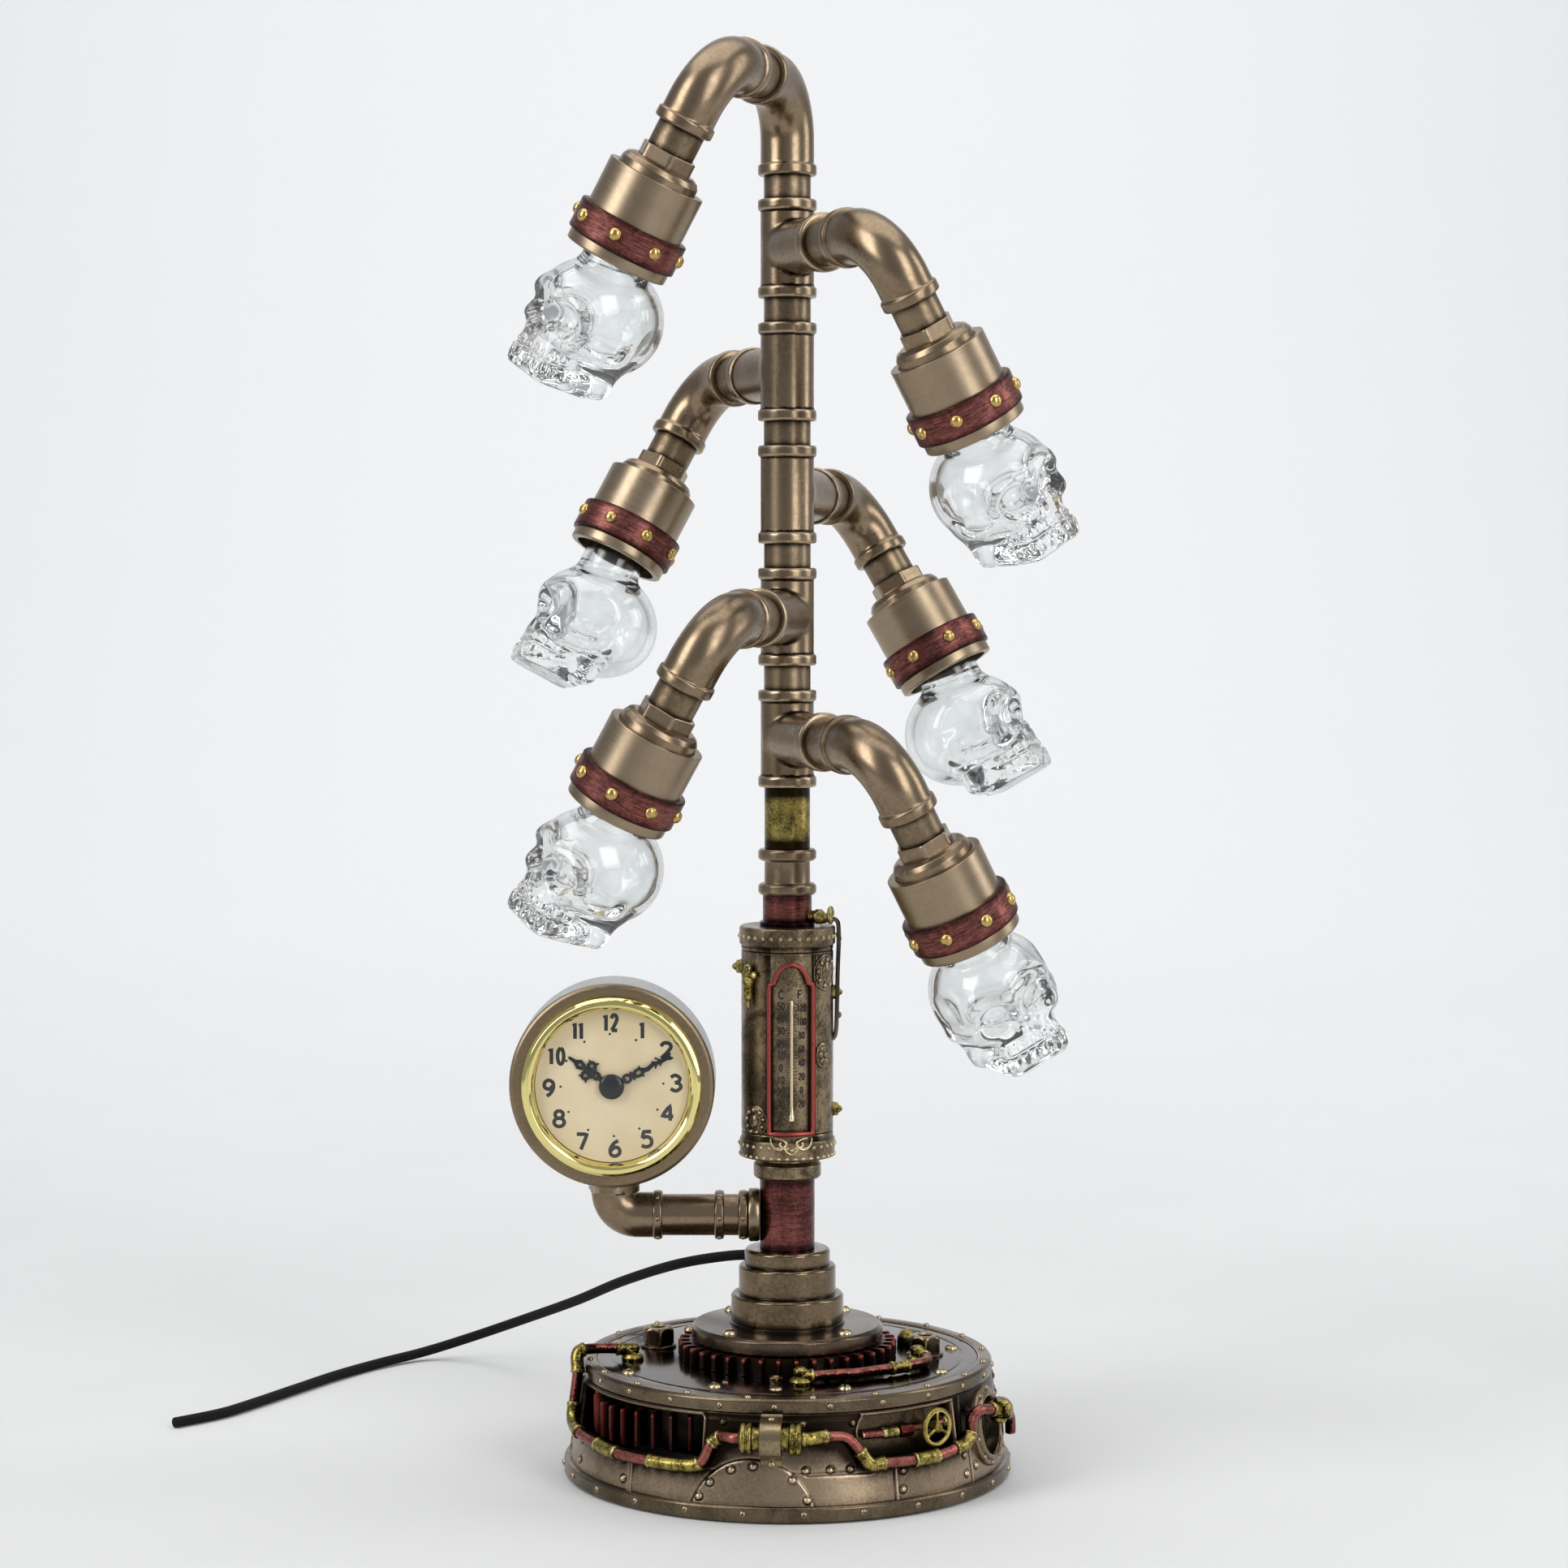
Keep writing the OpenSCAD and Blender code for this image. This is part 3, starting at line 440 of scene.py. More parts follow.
def make(name, part, mat, body=ROOT, nodes=(), m=None, sharp=38, wear_and_shade=1.6, rounds=1, extra=None, shade=None):
    """A piece from a part in mm, at the place m in mm."""
    me = bpy.data.meshes.new(name)
    v = part.v * 0.001
    me.vertices.add(len(v))
    me.vertices.foreach_set("co", v.astype(np.float32).ravel())
    loops = np.concatenate([part.q.ravel(), part.t.ravel()]).astype(np.int32)
    me.loops.add(len(loops))
    me.loops.foreach_set("vertex_index", loops)
    starts = np.concatenate([np.arange(len(part.q)) * 4, len(part.q) * 4 + np.arange(len(part.t)) * 3]).astype(np.int32)
    me.polygons.add(len(starts))
    me.polygons.foreach_set("loop_start", starts)
    me.update(calc_edges=True)
    me.polygons.foreach_set("use_smooth", np.ones(len(starts), bool))
    if sharp:
        me.set_sharp_from_angle(angle=math.radians(sharp))
    worn = wear_of(part, wear_and_shade, rounds)
    # shade is painted shade: it is taken off the worn-edge value, so the material darkens there as in a hollow
    if shade is not None:
        worn = np.clip(worn - shade, 0, 1)
    a = me.attributes.new("wear_and_shade", "FLOAT", "POINT")
    a.data.foreach_set("value", worn.astype(np.float32))
    a = me.attributes.new("tint", "FLOAT", "POINT")
    a.data.foreach_set("value", part.tint.astype(np.float32))
    for key, val in (extra or {}).items():
        a = me.attributes.new(key, "FLOAT", "POINT")
        a.data.foreach_set("value", np.asarray(val, np.float32))
    me.materials.append(mat)
    o = bpy.data.objects.new(name, me)
    scene.collection.objects.link(o)
    if m is not None:
        mm = np.array(m, float).copy()
        mm[:3, 3] *= 0.001
        o.matrix_world = Matrix(mm.tolist())
    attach(o, body)
    if nodes:
        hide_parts(*nodes)
    return o


# ------------------------------------------------------------------ materials
def lin(h):
    c = [int(h[i:i + 2], 16) / 255 for i in (1, 3, 5)]
    return tuple(x / 12.92 if x <= 0.04045 else ((x + 0.055) / 1.055) ** 2.4 for x in c) + (1.0,)


class Nodes:
    def __init__(self, name):
        self.mat = bpy.data.materials.new(name)
        self.mat.use_nodes = True
        self.t = self.mat.node_tree
        self.t.nodes.clear()
        self.out = self.t.nodes.new("ShaderNodeOutputMaterial")
        self.b = self.t.nodes.new("ShaderNodeBsdfPrincipled")
        self.t.links.new(self.b.outputs[0], self.out.inputs[0])
        self.co = None

    def link(self, a, b):
        self.t.links.new(a, b)

    def put(self, sock, v):
        if hasattr(v, "is_output"):
            self.link(v, sock)
        else:
            sock.default_value = v

    def coords(self, sx=1, sy=1, sz=1):
        if self.co is None:
            self.co = self.t.nodes.new("ShaderNodeTexCoord").outputs["Object"]
        m = self.t.nodes.new("ShaderNodeMapping")
        m.inputs["Scale"].default_value = (1000 * sx, 1000 * sy, 1000 * sz)
        self.link(self.co, m.inputs["Vector"])
        return m.outputs[0]

    def noise(self, scale, detail=4, rough=0.6, stretch=(1, 1, 1), distort=0.0, vec=None):
        n = self.t.nodes.new("ShaderNodeTexNoise")
        self.link(vec if vec is not None else self.coords(*stretch), n.inputs["Vector"])
        n.inputs["Scale"].default_value = scale
        n.inputs["Detail"].default_value = detail
        n.inputs["Roughness"].default_value = rough
        n.inputs["Distortion"].default_value = distort
        return n.outputs["Fac"]

    def attr(self, name):
        n = self.t.nodes.new("ShaderNodeAttribute")
        n.attribute_name = name
        return n.outputs["Fac"]

    def math(self, op, a, b=0.0, clamp=False):
        n = self.t.nodes.new("ShaderNodeMath")
        n.operation = op
        n.use_clamp = clamp
        self.put(n.inputs[0], a)
        self.put(n.inputs[1], b)
        return n.outputs[0]

    def rng(self, v, a, b, c=0.0, d=1.0):
        n = self.t.nodes.new("ShaderNodeMapRange")
        n.interpolation_type = "SMOOTHSTEP"
        self.put(n.inputs["Value"], v)
        for k, x in (("From Min", a), ("From Max", b), ("To Min", c), ("To Max", d)):
            n.inputs[k].default_value = x
        return n.outputs[0]

    def mix(self, f, a, b):
        n = self.t.nodes.new("ShaderNodeMix")
        n.data_type = "RGBA"
        self.put(n.inputs[0], f)
        self.put(n.inputs[6], a)
        self.put(n.inputs[7], b)
        return n.outputs[2]

    def bump(self, height, strength=0.3, dist=0.0002, normal=None):
        n = self.t.nodes.new("ShaderNodeBump")
        n.inputs["Strength"].default_value = strength
        n.inputs["Distance"].default_value = dist
        self.link(height, n.inputs["Height"])
        if normal is not None:
            self.link(normal, n.inputs["Normal"])
        return n.outputs[0]


def blend_hex(a, b, t):
    x = [int(a[i:i + 2], 16) for i in (1, 3, 5)]
    y = [int(b[i:i + 2], 16) for i in (1, 3, 5)]
    return "#" + "".join(f"{round(p + (q - p) * t):02x}" for p, q in zip(x, y))


def metal(name, base, dark, bright, rough=(0.28, 0.5), blotch=0.1, fine=0.8, patina=(0.35, 0.62), brush=None, bump=0.15, edge=(0.58, 0.8), cavity=(0.48, 0.22), streak=0.25, tint=None, metallic=1.0, mottle=0.35, worn=True, streak_dark=0.0, fleck=0.1):
    """Aged metal: soft blotches of patina, bright worn edges, dark hollows, optional brushing."""
    g = Nodes(name)
    n1 = g.noise(blotch, 5, 0.6, distort=0.4)
    n2 = g.noise(fine, 5, 0.6)
    f = g.math("ADD", g.math("MULTIPLY", n1, 0.62), g.math("MULTIPLY", n2, 0.38))
    col = g.mix(g.rng(f, *patina), lin(blend_hex(base, dark, mottle)), lin(base))
    hgt = n2
    rgh = g.rng(f, 0.3, 0.7, rough[1], rough[0])
    if brush:
        st = g.noise(1.0, 3, 0.7, stretch=brush)
        col = g.mix(g.math("MULTIPLY", g.rng(st, 0.3, 0.75), streak), col, lin(bright))
        if streak_dark:
            col = g.mix(g.math("MULTIPLY", g.rng(g.noise(1.0, 4, 0.75, stretch=[1.7 * x for x in brush]), 0.36, 0.6, 1.0, 0.0), streak_dark), col, lin(dark))
        hgt = g.math("ADD", g.math("MULTIPLY", n2, 0.3), st)
        rgh = g.math("ADD", rgh, g.math("MULTIPLY", g.math("SUBTRACT", st, 0.5), 0.25))
    if worn:
        # the attribute read here also carries painted shade from make's shade argument, besides worn edges and hollows
        w = g.math("ADD", g.attr("wear_and_shade"), g.math("MULTIPLY", g.math("SUBTRACT", n2, 0.5), fleck))
        col = g.mix(g.rng(w, cavity[1], cavity[0], 1.0, 0.0), col, lin(dark))
        col = g.mix(g.rng(w, edge[0], edge[1]), col, lin(bright))
    if tint:
        col = g.mix(g.rng(g.attr("tint"), 0.2, 0.8), col, lin(tint))
    g.link(col, g.b.inputs["Base Color"])
    g.link(rgh, g.b.inputs["Roughness"])
    g.b.inputs["Metallic"].default_value = metallic
    g.link(g.bump(hgt, bump, 0.0001), g.b.inputs["Normal"])
    return g.mat


def plain(name, base, dark, rough=0.5, scale=0.6, bump=0.15, metallic=0.0, spec=0.5, rr=0.12):
    """Plastic, rubber, felt: mottled colour, uneven gloss, fine bump."""
    g = Nodes(name)
    n1 = g.noise(scale, 6, 0.65)
    g.link(g.mix(g.rng(n1, 0.3, 0.7), lin(dark), lin(base)), g.b.inputs["Base Color"])
    g.link(g.rng(g.noise(scale * 2.3, 4, 0.6), 0.25, 0.75, rough - rr, rough + rr), g.b.inputs["Roughness"])
    g.b.inputs["Metallic"].default_value = metallic
    g.b.inputs["Specular IOR Level"].default_value = spec
    g.link(g.bump(n1, bump, 0.0001), g.b.inputs["Normal"])
    return g.mat


def glass(name, colour, rough=0.0, wavy=0.05, ior=1.5):
    g = Nodes(name)
    n1 = g.noise(0.09, 2, 0.5)
    # grey towards grazing angles is painted shade for the dark outlines of the thick glass
    lw = g.t.nodes.new("ShaderNodeLayerWeight")
    lw.inputs["Blend"].default_value = 0.5
    g.link(g.mix(g.rng(lw.outputs["Facing"], 0.62, 0.97), g.mix(g.rng(n1, 0.3, 0.7), lin(colour), lin("#fbfdfc")), lin("#747a7a")), g.b.inputs["Base Color"])
    g.b.inputs["Transmission Weight"].default_value = 1.0
    g.b.inputs["IOR"].default_value = ior
    g.link(g.rng(g.noise(0.4, 3, 0.6), 0.45, 0.8, rough, rough + 0.03), g.b.inputs["Roughness"])
    g.link(g.bump(n1, wavy, 0.0004), g.b.inputs["Normal"])
    tp = g.t.nodes.new("ShaderNodeBsdfTransparent")
    mx = g.t.nodes.new("ShaderNodeMixShader")
    mx.inputs[0].default_value = 0.97
    g.link(tp.outputs[0], mx.inputs[1])
    g.link(g.b.outputs[0], mx.inputs[2])
    g.link(mx.outputs[0], g.out.inputs[0])
    return g.mat


M_FIT = metal("aged_bronze_fittings", "#8e7c65", "#241d16", "#a8977d", rough=(0.24, 0.34), blotch=0.03, fine=0.5, patina=(0.3, 0.65), bump=0.04, mottle=0.25, cavity=(0.48, 0.26), edge=(0.6, 0.9))
M_PIPE = metal("bronze_pipe", "#86755e", "#231c15", "#ac9a7e", rough=(0.3, 0.42), blotch=0.05, fine=0.6, bump=0.05, mottle=0.3)
M_CUP = metal("satin_bronze_cup", "#94836d", "#43382d", "#b8a68b", rough=(0.3, 0.38), blotch=0.02, fine=0.5, patina=(0.2, 0.6), brush=(0.03, 0.03, 2.6), bump=0.06, streak=0.14, mottle=0.2)
M_LIP = metal("bronze_lip", "#8c7b5f", "#2b231b", "#cdbb97", rough=(0.25, 0.38), blotch=0.08, mottle=0.3)
M_BAND = metal("brushed_red_band", "#8d514b", "#1e0d0e", "#b57d74", rough=(0.3, 0.5), blotch=0.09, fine=0.6, patina=(0.34, 0.62), brush=(0.11, 0.11, 1.9), bump=0.35, streak=0.4, mottle=0.6, streak_dark=0.75)
M_STUD = metal("antique_brass_stud", "#c2a466", "#5e4820", "#ead6a2", rough=(0.2, 0.32), blotch=0.2, fine=1.2, patina=(0.2, 0.5), bump=0.05, mottle=0.4)
M_BRASS = metal("mottled_brass", "#a5954f", "#17130a", "#ccbd84", rough=(0.26, 0.44), blotch=0.3, fine=1.3, patina=(0.38, 0.58), bump=0.5, mottle=0.7, cavity=(0.46, 0.24), fleck=0.9, edge=(0.66, 0.9))
M_NIPPLE = metal("mottled_brass_nipple", "#b5a35a", "#231c0f", "#cbb96c", rough=(0.26, 0.42), blotch=0.14, fine=1.3, patina=(0.4, 0.6), brush=(0.14, 0.14, 1.2), bump=0.25, mottle=0.75, streak=0.15, streak_dark=0.35)
M_COPPER = metal("red_copper", "#9c5c52", "#180b09", "#cc978b", rough=(0.28, 0.44), blotch=0.3, fine=1.3, patina=(0.34, 0.58), bump=0.3, mottle=0.55, cavity=(0.46, 0.22), fleck=0.7, edge=(0.66, 0.9))
M_SLEEVE = metal("mottled_copper_sleeve", "#824b45", "#1f1011", "#a96f65", rough=(0.25, 0.38), blotch=0.07, fine=0.8, patina=(0.36, 0.62), brush=(0.09, 0.09, 1.3), bump=0.22, streak=0.28, mottle=0.75, streak_dark=0.6)
M_CAST = metal("cast_bronze_skirt", "#a38f77", "#1e1711", "#cbb999", rough=(0.26, 0.4), blotch=0.04, fine=0.9, patina=(0.3, 0.65), bump=0.4, mottle=0.35, cavity=(0.52, 0.12))
M_HOOP = metal("bronze_hoop", "#736552", "#211911", "#ab9a7c", rough=(0.2, 0.32), blotch=0.06, fine=1.0, bump=0.14, mottle=0.4, cavity=(0.5, 0.25))
M_PLATE = metal("dark_bronze_plate", "#4a3f38", "#1b1511", "#74665b", rough=(0.1, 0.18), blotch=0.02, fine=0.5, patina=(0.3, 0.65), bump=0.05, mottle=0.35)
M_FLANGE = metal("flange_bronze", "#67584a", "#1f1812", "#c0ad88", rough=(0.16, 0.26), blotch=0.04, fine=0.8, bump=0.06, mottle=0.4)
M_NECK = metal("neck_bronze", "#7b6b55", "#211a13", "#c4b18b", rough=(0.13, 0.24), blotch=0.04, fine=0.8, bump=0.09, mottle=0.4)
M_NUT = metal("nut_bronze", "#574a3b", "#191410", "#94815f", rough=(0.2, 0.34), blotch=0.08, fine=0.9, bump=0.15, mottle=0.5, edge=(0.62, 0.9))
M_GEAR = metal("dark_gear", "#352b25", "#120e0c", "#54443a", rough=(0.3, 0.5), blotch=0.1, fine=0.9, tint="#8a3d36", mottle=0.5)
M_BARREL = metal("barrel_bronze", "#958369", "#1e1811", "#c2b08e", rough=(0.25, 0.4), blotch=0.08, fine=0.9, patina=(0.36, 0.62), bump=0.2, mottle=0.62, cavity=(0.5, 0.2))
M_RED = metal("red_frame", "#9a4a43", "#32140f", "#cc857a", rough=(0.27, 0.42), blotch=0.3, fine=1.2, patina=(0.25, 0.5), mottle=0.4)
M_TUBE = metal("pale_tube", "#dccaa8", "#8b7450", "#f4e4c4", rough=(0.2, 0.34), blotch=0.2, fine=1.4, patina=(0.2, 0.5), bump=0.05)
M_CASE = metal("brushed_clock_case", "#86755c", "#3d3125", "#a39177", rough=(0.3, 0.42), blotch=0.04, fine=0.8, patina=(0.25, 0.65), brush=(0.9, 1.6, 0.06), bump=0.1, streak=0.3, mottle=0.3, tint="#b0b0ae")
M_GOLD = metal("gilt_bezel", "#e9dc92", "#b59a3c", "#fbf3c8", rough=(0.05, 0.1), blotch=0.1, fine=0.8, patina=(0.1, 0.4), bump=0.01, mottle=0.2)
M_DARKRED = metal("dark_red_hex", "#5d2723", "#220f0e", "#8e4a42", rough=(0.3, 0.45), blotch=0.2, fine=1.0)
M_WHEEL = metal("dark_brass_wheel", "#9c8a48", "#2a2412", "#dcc678", rough=(0.26, 0.45), blotch=0.3, fine=1.4, patina=(0.36, 0.6), bump=0.25, mottle=0.6)
M_PANE = metal("dark_pane", "#20262a", "#0c0f11", "#3a4448", rough=(0.08, 0.2), blotch=0.1, fine=0.6, bump=0.03, metallic=0.3)
M_BLACK = plain("black_plastic", "#1d1d1f", "#0d0d0e", 0.35, 0.8, 0.08)
M_WHITE = plain("white_plastic", "#efeee8", "#d9d6cb", 0.4, 0.5, 0.08)
M_RUBBER = plain("dark_rubber", "#2b2724", "#171513", 0.7, 1.2, 0.3)
M_FELT = plain("felt", "#3b3a39", "#1d1c1c", 0.92, 2.5, 0.8, rr=0.05)
M_WIRE = plain("wire_insulation", "#d6d0c0", "#aaa391", 0.5, 0.7, 0.1)
M_INK = plain("dial_ink", "#171617", "#0b0a0b", 0.5, 1.5, 0.05)
M_HAND = plain("black_hand", "#0e0e10", "#060607", 0.16, 0.8, 0.03, spec=0.3, rr=0.05)
M_GLASS = glass("clear_glass", "#f1f3f3", 0.0, 0.05)
def lens_material():
    g = Nodes("lens_glass")
    tp = g.t.nodes.new("ShaderNodeBsdfTransparent")
    mx = g.t.nodes.new("ShaderNodeMixShader")
    g.link(g.rng(g.noise(0.02, 2, 0.5), 0.3, 0.7, 0.015, 0.03), mx.inputs[0])
    g.link(tp.outputs[0], mx.inputs[1])
    g.link(g.b.outputs[0], mx.inputs[2])
    g.link(mx.outputs[0], g.out.inputs[0])
    g.b.inputs["Base Color"].default_value = (0.95, 0.97, 0.97, 1)
    g.b.inputs["Metallic"].default_value = 1.0
    g.b.inputs["Roughness"].default_value = 0.03
    return g.mat


M_LENS = lens_material()


def dial_material():
    g = Nodes("cream_dial")
    n1 = g.noise(0.05, 3, 0.5)
    n2 = g.noise(2.0, 3, 0.6)
    col = g.mix(g.rng(n1, 0.3, 0.7), lin("#dacaa8"), lin("#d1bf97"))
    col = g.mix(g.math("MULTIPLY", g.rng(n2, 0.4, 0.75), 0.18), col, lin("#cdb68c"))
    g.link(col, g.b.inputs["Base Color"])
    g.link(g.rng(n2, 0.3, 0.7, 0.42, 0.58), g.b.inputs["Roughness"])
    g.link(g.bump(n2, 0.05, 0.00005), g.b.inputs["Normal"])
    return g.mat


M_DIAL = dial_material()


def cord_material():
    """Braid from the cord's own turn (bu) and length (bv) numbers."""
    g = Nodes("braided_cord")
    a = g.math("ADD", g.math("MULTIPLY", g.attr("bu"), 8.0), g.attr("bv"))
    b = g.math("SUBTRACT", g.math("MULTIPLY", g.attr("bu"), 8.0), g.attr("bv"))
    sa = g.math("SINE", g.math("MULTIPLY", a, 6.28318))
    sb = g.math("SINE", g.math("MULTIPLY", b, 6.28318))
    m = g.math("MULTIPLY", sa, sb)
    n = g.noise(3.0, 3, 0.6)
    col = g.mix(g.rng(m, -0.6, 0.6), lin("#020202"), lin("#0b0b0c"))
    col = g.mix(g.math("MULTIPLY", n, 0.25), col, lin("#121213"))
    g.link(col, g.b.inputs["Base Color"])
    g.b.inputs["Roughness"].default_value = 0.72
    g.b.inputs["Specular IOR Level"].default_value = 0.2
    g.link(g.bump(m, 0.5, 0.0002), g.b.inputs["Normal"])
    return g.mat


M_CORD = cord_material()


def floor_material(name):
    g = Nodes(name)
    n = g.noise(0.004, 3, 0.5)
    xyz = g.t.nodes.new("ShaderNodeSeparateXYZ")
    g.link(g.t.nodes.new("ShaderNodeTexCoord").outputs["Object"], xyz.inputs[0])
    # darker near the camera and lighter up the backdrop: painted light falloff on the floor
    near = g.mix(g.rng(n, 0.3, 0.7), lin("#cacac9"), lin("#cececd"))
    g.link(g.mix(g.rng(xyz.outputs[1], 0.1, 1.9), near, lin("#eaeaea")), g.b.inputs["Base Color"])
    g.b.inputs["Roughness"].default_value = 0.75
    g.b.inputs["Specular IOR Level"].default_value = 0.25
    return g.mat


# ------------------------------------------------------------------ the cord
CORD = [[-4, 15, 77.5], [-4, 26, 77.5], [-4.5, 35, 77.4], [-10, 46, 76.8], [-24, 60, 74], [-46, 78, 67], [-70, 108, 54], [-92, 140, 39],
        [-116, 172, 24.5], [-142, 194, 11.5], [-164, 196, 4.2], [-183, 180, 2.4], [-199, 156, 2.4], [-213, 130, 2.4],
        [-230, 98, 2.4], [-240, 82, 2.4], [-256, 66, 2.4]]
line = smooth_line(CORD, 40)
arc = np.r_[0, np.cumsum(np.linalg.norm(np.diff(line, axis=0), axis=1))]
ss = np.linspace(0, arc[-1], 640)
line = np.stack([np.interp(ss, arc, line[:, k]) for k in range(3)], 1)
NC = 28
cord_part = sweep(line, 2.12, NC, cap=True)
bu = np.r_[np.tile(np.arange(NC) / NC, len(line)), 0, 0]
bv = np.r_[np.repeat(ss / 2.6, NC), 0, ss[-1] / 2.6]
# strands of the braid stand up a little
t_, u_, w_ = frames(line)
cen = np.vstack([np.repeat(line, NC, 0), line[:1], line[-1:]])
lift = 0.07 * np.sin(2 * math.pi * (bu * 8 + bv)) * np.sin(2 * math.pi * (bu * 8 - bv))
rad = cord_part.v - cen
ln = np.linalg.norm(rad, axis=1)
cord_part.v = cord_part.v + np.where(ln[:, None] > 1e-6, rad / np.maximum(ln, 1e-6)[:, None] * lift[:, None], 0)
cord = make("braided_power_cord", cord_part, M_CORD, nodes=("power_cord",), extra={"bu": bu, "bv": bv}, sharp=0)


# ------------------------------------------------------------------ pipe fittings
def bead_steps(total, r=FIT, rb=BEAD, w=BEADW, first=True, last=True):
    """Radius steps along a fitting with a rounded bead at each mouth."""
    a = [(0, 9.3), (0, rb - 0.75), (0.25, rb - 0.3), (0.7, rb - 0.04), (1.1, rb), (w - 1.1, rb), (w - 0.6, rb - 0.06), (w - 0.15, rb - 0.35), (w, rb - 0.75), (w + 0.12, r + 0.12), (w + 0.5, r), (w + 1.4, r)]
    b = [(total - s, x) for s, x in a[::-1]]
    return a + b


def elbow_part(a, b, rb):
    th = np.linspace(90, 0, 25)
    path = [[-a, 0, 0]] + [[-rb + rb * math.cos(math.radians(t)), 0, -rb + rb * math.sin(math.radians(t))] for t in th] + [[0, 0, -b]]
    path = np.array(path)
    total = float(np.linalg.norm(np.diff(path, axis=0), axis=1).sum())
    pts, rr = along(path, bead_steps(total))
    return sweep(pts, rr, 64)


elbow = elbow_part(ARM_L - ELBOW_FACE, DROP_FACE, 20)
for i in range(6):
    make(f"arm_elbow_{i + 1}", elbow, M_FIT, nodes=("arm_elbows",), m=arm_m(i), wear_and_shade=0.9)
make("top_elbow_fitting", elbow_part(BRANCH_FACE, 35.1, 22), M_FIT, nodes=("top_elbow",), m=branch_m(0) @ rot("Z", 180), wear_and_shade=0.9)


def tee_sdf(p):
    d = smin(rcyl(p, 2, -TEE_HALF, TEE_HALF, FIT, 0.5), rcyl(p, 0, -0.1, BRANCH_FACE, FIT, 0.5), 1.3)
    for a, b in ((-TEE_HALF, -TEE_HALF + BEADW), (TEE_HALF - BEADW, TEE_HALF)):
        d = smin(d, rcyl(p, 2, a, b, BEAD, 0.9), 0.35)
    return smin(d, rcyl(p, 0, BRANCH_FACE - BEADW, BRANCH_FACE, BEAD, 0.9), 0.35)


tee = nets(tee_sdf, (-12.9, -12.9, -20.6), (38, 12.9, 20.6), 0.62)
for i in range(1, 6):
    make(f"column_tee_{6 - i}", tee, M_FIT, nodes=("column_tees",), m=branch_m(i), sharp=0, wear_and_shade=3.5, rounds=2)


def pipe_rings(x0, x1, r, axis="x", n=48):
    """Pipe length in fine rings, so that its darkening can vary along it."""
    ln_ = x1 - x0
    zs = np.linspace(0.3, ln_ - 0.3, max(8, int(ln_ / 0.9)))
    p = lathe(np.vstack([[[0, 0], [r - 0.3, 0]], [[r, z] for z in zs], [[r - 0.3, ln_], [0, ln_]]]), n)
    return p.at({"x": tr(x0, 0, 0) @ rot("Y", 90), "z": tr(0, 0, x0)}[axis])


def ends(part, axis, a, b, reach=2.6, amount=0.42):
    """Darkening that grows towards both ends of a length."""
    x = part.v[:, axis]
    return amount * np.maximum(np.exp(-np.maximum(x - a, 0) / reach), np.exp(-np.maximum(b - x, 0) / reach))


nip, nip_shade = [], []
for k in range(5):
    z0 = 292 + 48 * k + TEE_HALF - 5
    z1 = (292 + 48 * (k + 1) - TEE_HALF if k < 4 else 547.5 - 35.1) + 5
    nip.append(pipe_rings(z0, z1, NIP, "z"))
    nip_shade.append(ends(nip[-1], 2, z0 + 5, z1 - 5, 2.0, 0.36))
for i in range(6):
    for q_, ax_, a_, b_, m_ in ((pipe_rings(BRANCH_FACE - 5, ELBOW_FACE + 5, NIP), 0, BRANCH_FACE, ELBOW_FACE, branch_m(i)), (pipe_rings(-40, -DROP_FACE + 5, NIP, "z"), 2, -38.6, -DROP_FACE, arm_m(i))):
        nip_shade.append(ends(q_, ax_, a_, b_, 2.0, 0.36))
        nip.append(q_.at(m_))
make("pipe_nipples_turned", joined(nip), M_PIPE, nodes=("pipe_nipples",), shade=np.concatenate(nip_shade))


def hex_nut(r, z0, z1, chamfer=0.9):
    """Hexagon with its corners turned off at both faces; r across corners / 2."""
    ap = r * math.cos(math.pi / 6)

    def rf(th, k):
        w = (th + math.pi / 6) % (math.pi / 3) - math.pi / 6
        hx = ap / np.cos(w)
        lim = [ap * 0.98, ap * 1.01, r, r, ap * 1.01, ap * 0.98][k]
        return np.minimum(hx, lim)

    return polar(rf, [z0, z0 + 0.05, z0 + chamfer, z1 - chamfer, z1 - 0.05, z1], 96)


def hex_prism(r, z0, z1, e=0.35):
    """Plain hexagon bar with its edges just broken."""
    ap = r * math.cos(math.pi / 6)

    def rf(th, k):
        w = (th + math.pi / 6) % (math.pi / 3) - math.pi / 6
        return np.minimum(ap / np.cos(w), r * 0.985) - [e, 0, 0, e][k]

    return polar(rf, [z0, z0 + e, z1 - e, z1], 96)


bush = lathe(fillet([(0, -51.9), (17.25, -51.9, 0.2), (17.25, -49.95, 0.1), (15.8, -49.9, 0.3), (15.6, -46.8, 1.4), (14.4, -44.8, 1.0), (12.4, -43.8, 0.6), (0, -43.8)], 5), 72) + hex_prism(11.5, -44.2, -38.6)
for i in range(6):
    make(f"hex_bushing_{i + 1}", bush, M_FIT, nodes=("hex_bushings",), m=arm_m(i))

